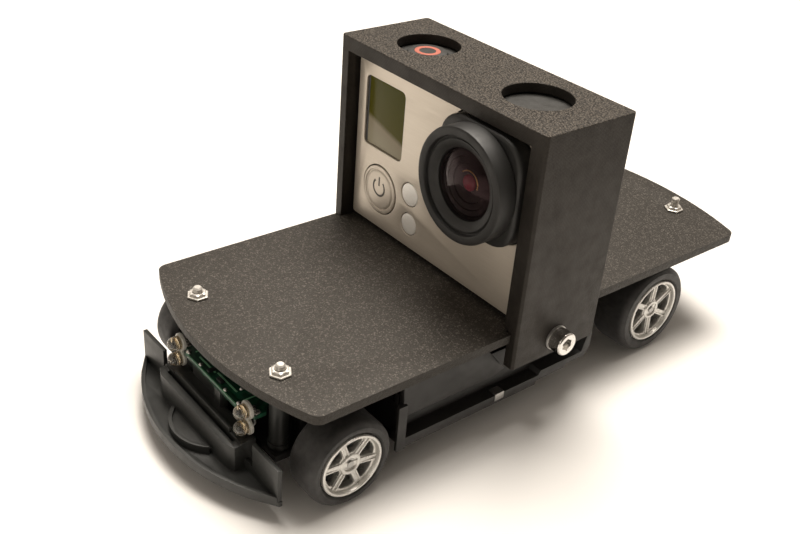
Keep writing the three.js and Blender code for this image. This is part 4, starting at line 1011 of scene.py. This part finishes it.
def rim(wheel):
    radius, face = wheel["rim"], wheel["width"] / 2 + RIM_PROUD
    back = -wheel["width"] / 2 + 0.4
    outer = radius - RIM_WALL
    rings = [*((back + x, radius - r) for x, r in RIM_BACK), *((face - x, radius - r) for x, r in RIM_FRONT),
             (back + 0.2, radius - BARREL_WALL)]
    bm = spun(bmesh.new(), rings, count=88, closed=True)

    def dish(vertex):
        reach = math.hypot(vertex.co.y, vertex.co.z) / (radius * MM)
        vertex.co.x += DISH_DEPTH * MM * (reach ** 2 - DISH_LEVEL)

    openings = [spoke_opening(i, outer) for i in range(SPOKES)]
    plate(bm, [circle(0, 0, outer, 72), *openings], face - 2.5, face - 0.95, "x", 0.2, dish)
    for i in range(SPOKES):
        turn = Matrix.Rotation(2 * math.pi * i / SPOKES, 4, "X")

        def turned_and_dished(vertex):
            vertex.co = turn @ vertex.co
            dish(vertex)

        for y in (-RAIL_OFFSET, RAIL_OFFSET):
            rail = rounded(rectangle(RAIL_START, outer - 0.1, y - RAIL_HALF_WIDTH, y + RAIL_HALF_WIDTH), 0.15, 3)
            plate(bm, [rail], face - 1.2, face - 0.68, "x", 0.1, turned_and_dished)
    return spun(bm, moved(HUB, face), count=48, closed=True)


def dark_shade_disc(wheel):
    """A dark disc behind the spokes, put there as painted shade inside the wheel's openings."""
    face, edge = wheel["width"] / 2 + RIM_PROUD, wheel["rim"] - 0.95
    rings = [(face - 4.2, 1.4), (face - 4.2, edge), (face - 3.9, edge), (face - 3.7, 2.6), (face - 3.7, 1.4)]
    return spun(bmesh.new(), rings, count=48, closed=True)


def wheel_nut(wheel):
    return spun(bmesh.new(), moved(WHEEL_NUT, wheel["width"] / 2 + RIM_PROUD), count=48)


for end, wheel in WHEELS.items():
    for label, side in SIDES:
        body = f"front_{label}_wheel" if end == "front" else "rear_drive"
        middle = Vector((side * (wheel["face"] - wheel["width"] / 2), wheel["y"], wheel["tyre"])) * MM
        outwards = Matrix.Rotation(0 if side > 0 else math.pi, 4, "Z")
        place = Matrix.Translation(middle) @ outwards @ Matrix.Rotation(wheel["turn"], 4, "X")
        for part, bm, material, slot in (("tyre", tyre(wheel), RUBBER, "tyre"),
                                         ("rim", rim(wheel), RIM, "rim_silver"),
                                         ("shade_disc", dark_shade_disc(wheel), RUBBER, "moulded_black"),
                                         ("wheel_nut", wheel_nut(wheel), DULL_STEEL, "steel")):
            bm.transform(place)
            name = f"{end}_{label}_{part}"
            piece(name + "_look", bm, material, body, (name,) if part in ("tyre", "rim") else ())


# ---------------------------------------------------------------- steering and drive

KINGPIN_X = 20
KINGPIN = ((6.3, 0), (6.3, 0.85), (6.45, 1.0), (18.5, 1.0), (18.5, 1.7), (19.1, 1.7), (19.3, 1.5), (19.35, 0.9),
           (19.2, 0.75, hexagon), (18.9, 0.7, hexagon), (18.9, 0))
SERVO_SCREW = ((-42.75, 0), (-42.95, 0.3), (-42.95, 0.8), (-42.8, 1.0), (-42.6, 1.0), (-42.6, 0))
SERVO_SCREWS = [(x, 0, z) for x in (-8.4, 8.4) for z in (9.6, 15.0)]

refined("upper_arm", MOULDED, bevel=0.2)
refined("tie_rod", MOULDED, "tie_rod", 0.12)
refined("servo_horn", NYLON, "servo_horn", 0.1)
for label, side in SIDES:
    refined(f"{label}_knuckle", MOULDED, f"{label}_knuckle", 0.15)
    bm = spun(bmesh.new(), KINGPIN, "z", (side * KINGPIN_X, WHEELS["front"]["y"], 0), 36)
    piece(f"{label}_kingpin_look", bm, STEEL, stands_for=(f"{label}_kingpin",))

refined("steering_servo", SERVO, bevel=0.3, segments=3)
piece("servo_screws", repeated(SERVO_SCREW, "y", SERVO_SCREWS, 16), STEEL)
refined("motor_pod", MOULDED, bevel=0.2)
refined("rear_frame", MOULDED, bevel=0.25)
refined("drive_motor", CAN, bevel=0.3)
refined("spur_gear", NYLON, "rear_drive", 0.05, 1)
refined("motor_pinion", BRASS, "motor_pinion", 0.05, 1)
refined("rear_axle", STEEL, "rear_drive", 0.1)

MOTOR = (0, 30.694, 12.3)
MOTOR_BELL = ((-12.1, 0), (-12.1, 5.6), (-12.7, 5.4), (-12.9, 4.6), (-12.9, 2.0), (-13.3, 1.8), (-13.4, 0))
MOTOR_TERMINALS = ((-12.4, MOTOR[1] - 3.6, 1.0, 1.8, 0.6), (-12.4, MOTOR[1] + 3.6, 1.0, 1.8, 0.6))
BEARING = ((14.15, 1.3), (14.15, 3.3), (14.5, 3.3), (14.55, 3.1), (14.45, 2.9), (14.45, 1.7), (14.5, 1.5),
           (14.4, 1.3))
REAR_SCREW = ((16.85, 0), (16.85, 1.2), (17.25, 1.15), (17.4, 0.9), (17.4, 0.55, hexagon), (17.15, 0.5, hexagon),
              (17.15, 0))
REAR_SCREWS = [(x, y, 0) for x in (-12.2, 12.2) for y in (51.5, 60.0)]

piece("motor_end_bell", spun(bmesh.new(), MOTOR_BELL, "x", MOTOR, 40), CHIP)
piece("motor_terminals", boxes(MOTOR[2] + 3.4, MOTOR_TERMINALS), BRASS, bevel=0.08)
for label, side in SIDES:
    axle = (0, WHEELS["rear"]["y"], WHEELS["rear"]["tyre"])
    bm = spun(bmesh.new(), moved(BEARING, 0, side), "x", axle, 40, True)
    piece(f"{label}_axle_bearing", bm, DULL_STEEL)
piece("rear_frame_screws", repeated(REAR_SCREW, "z", REAR_SCREWS, 24), STEEL)
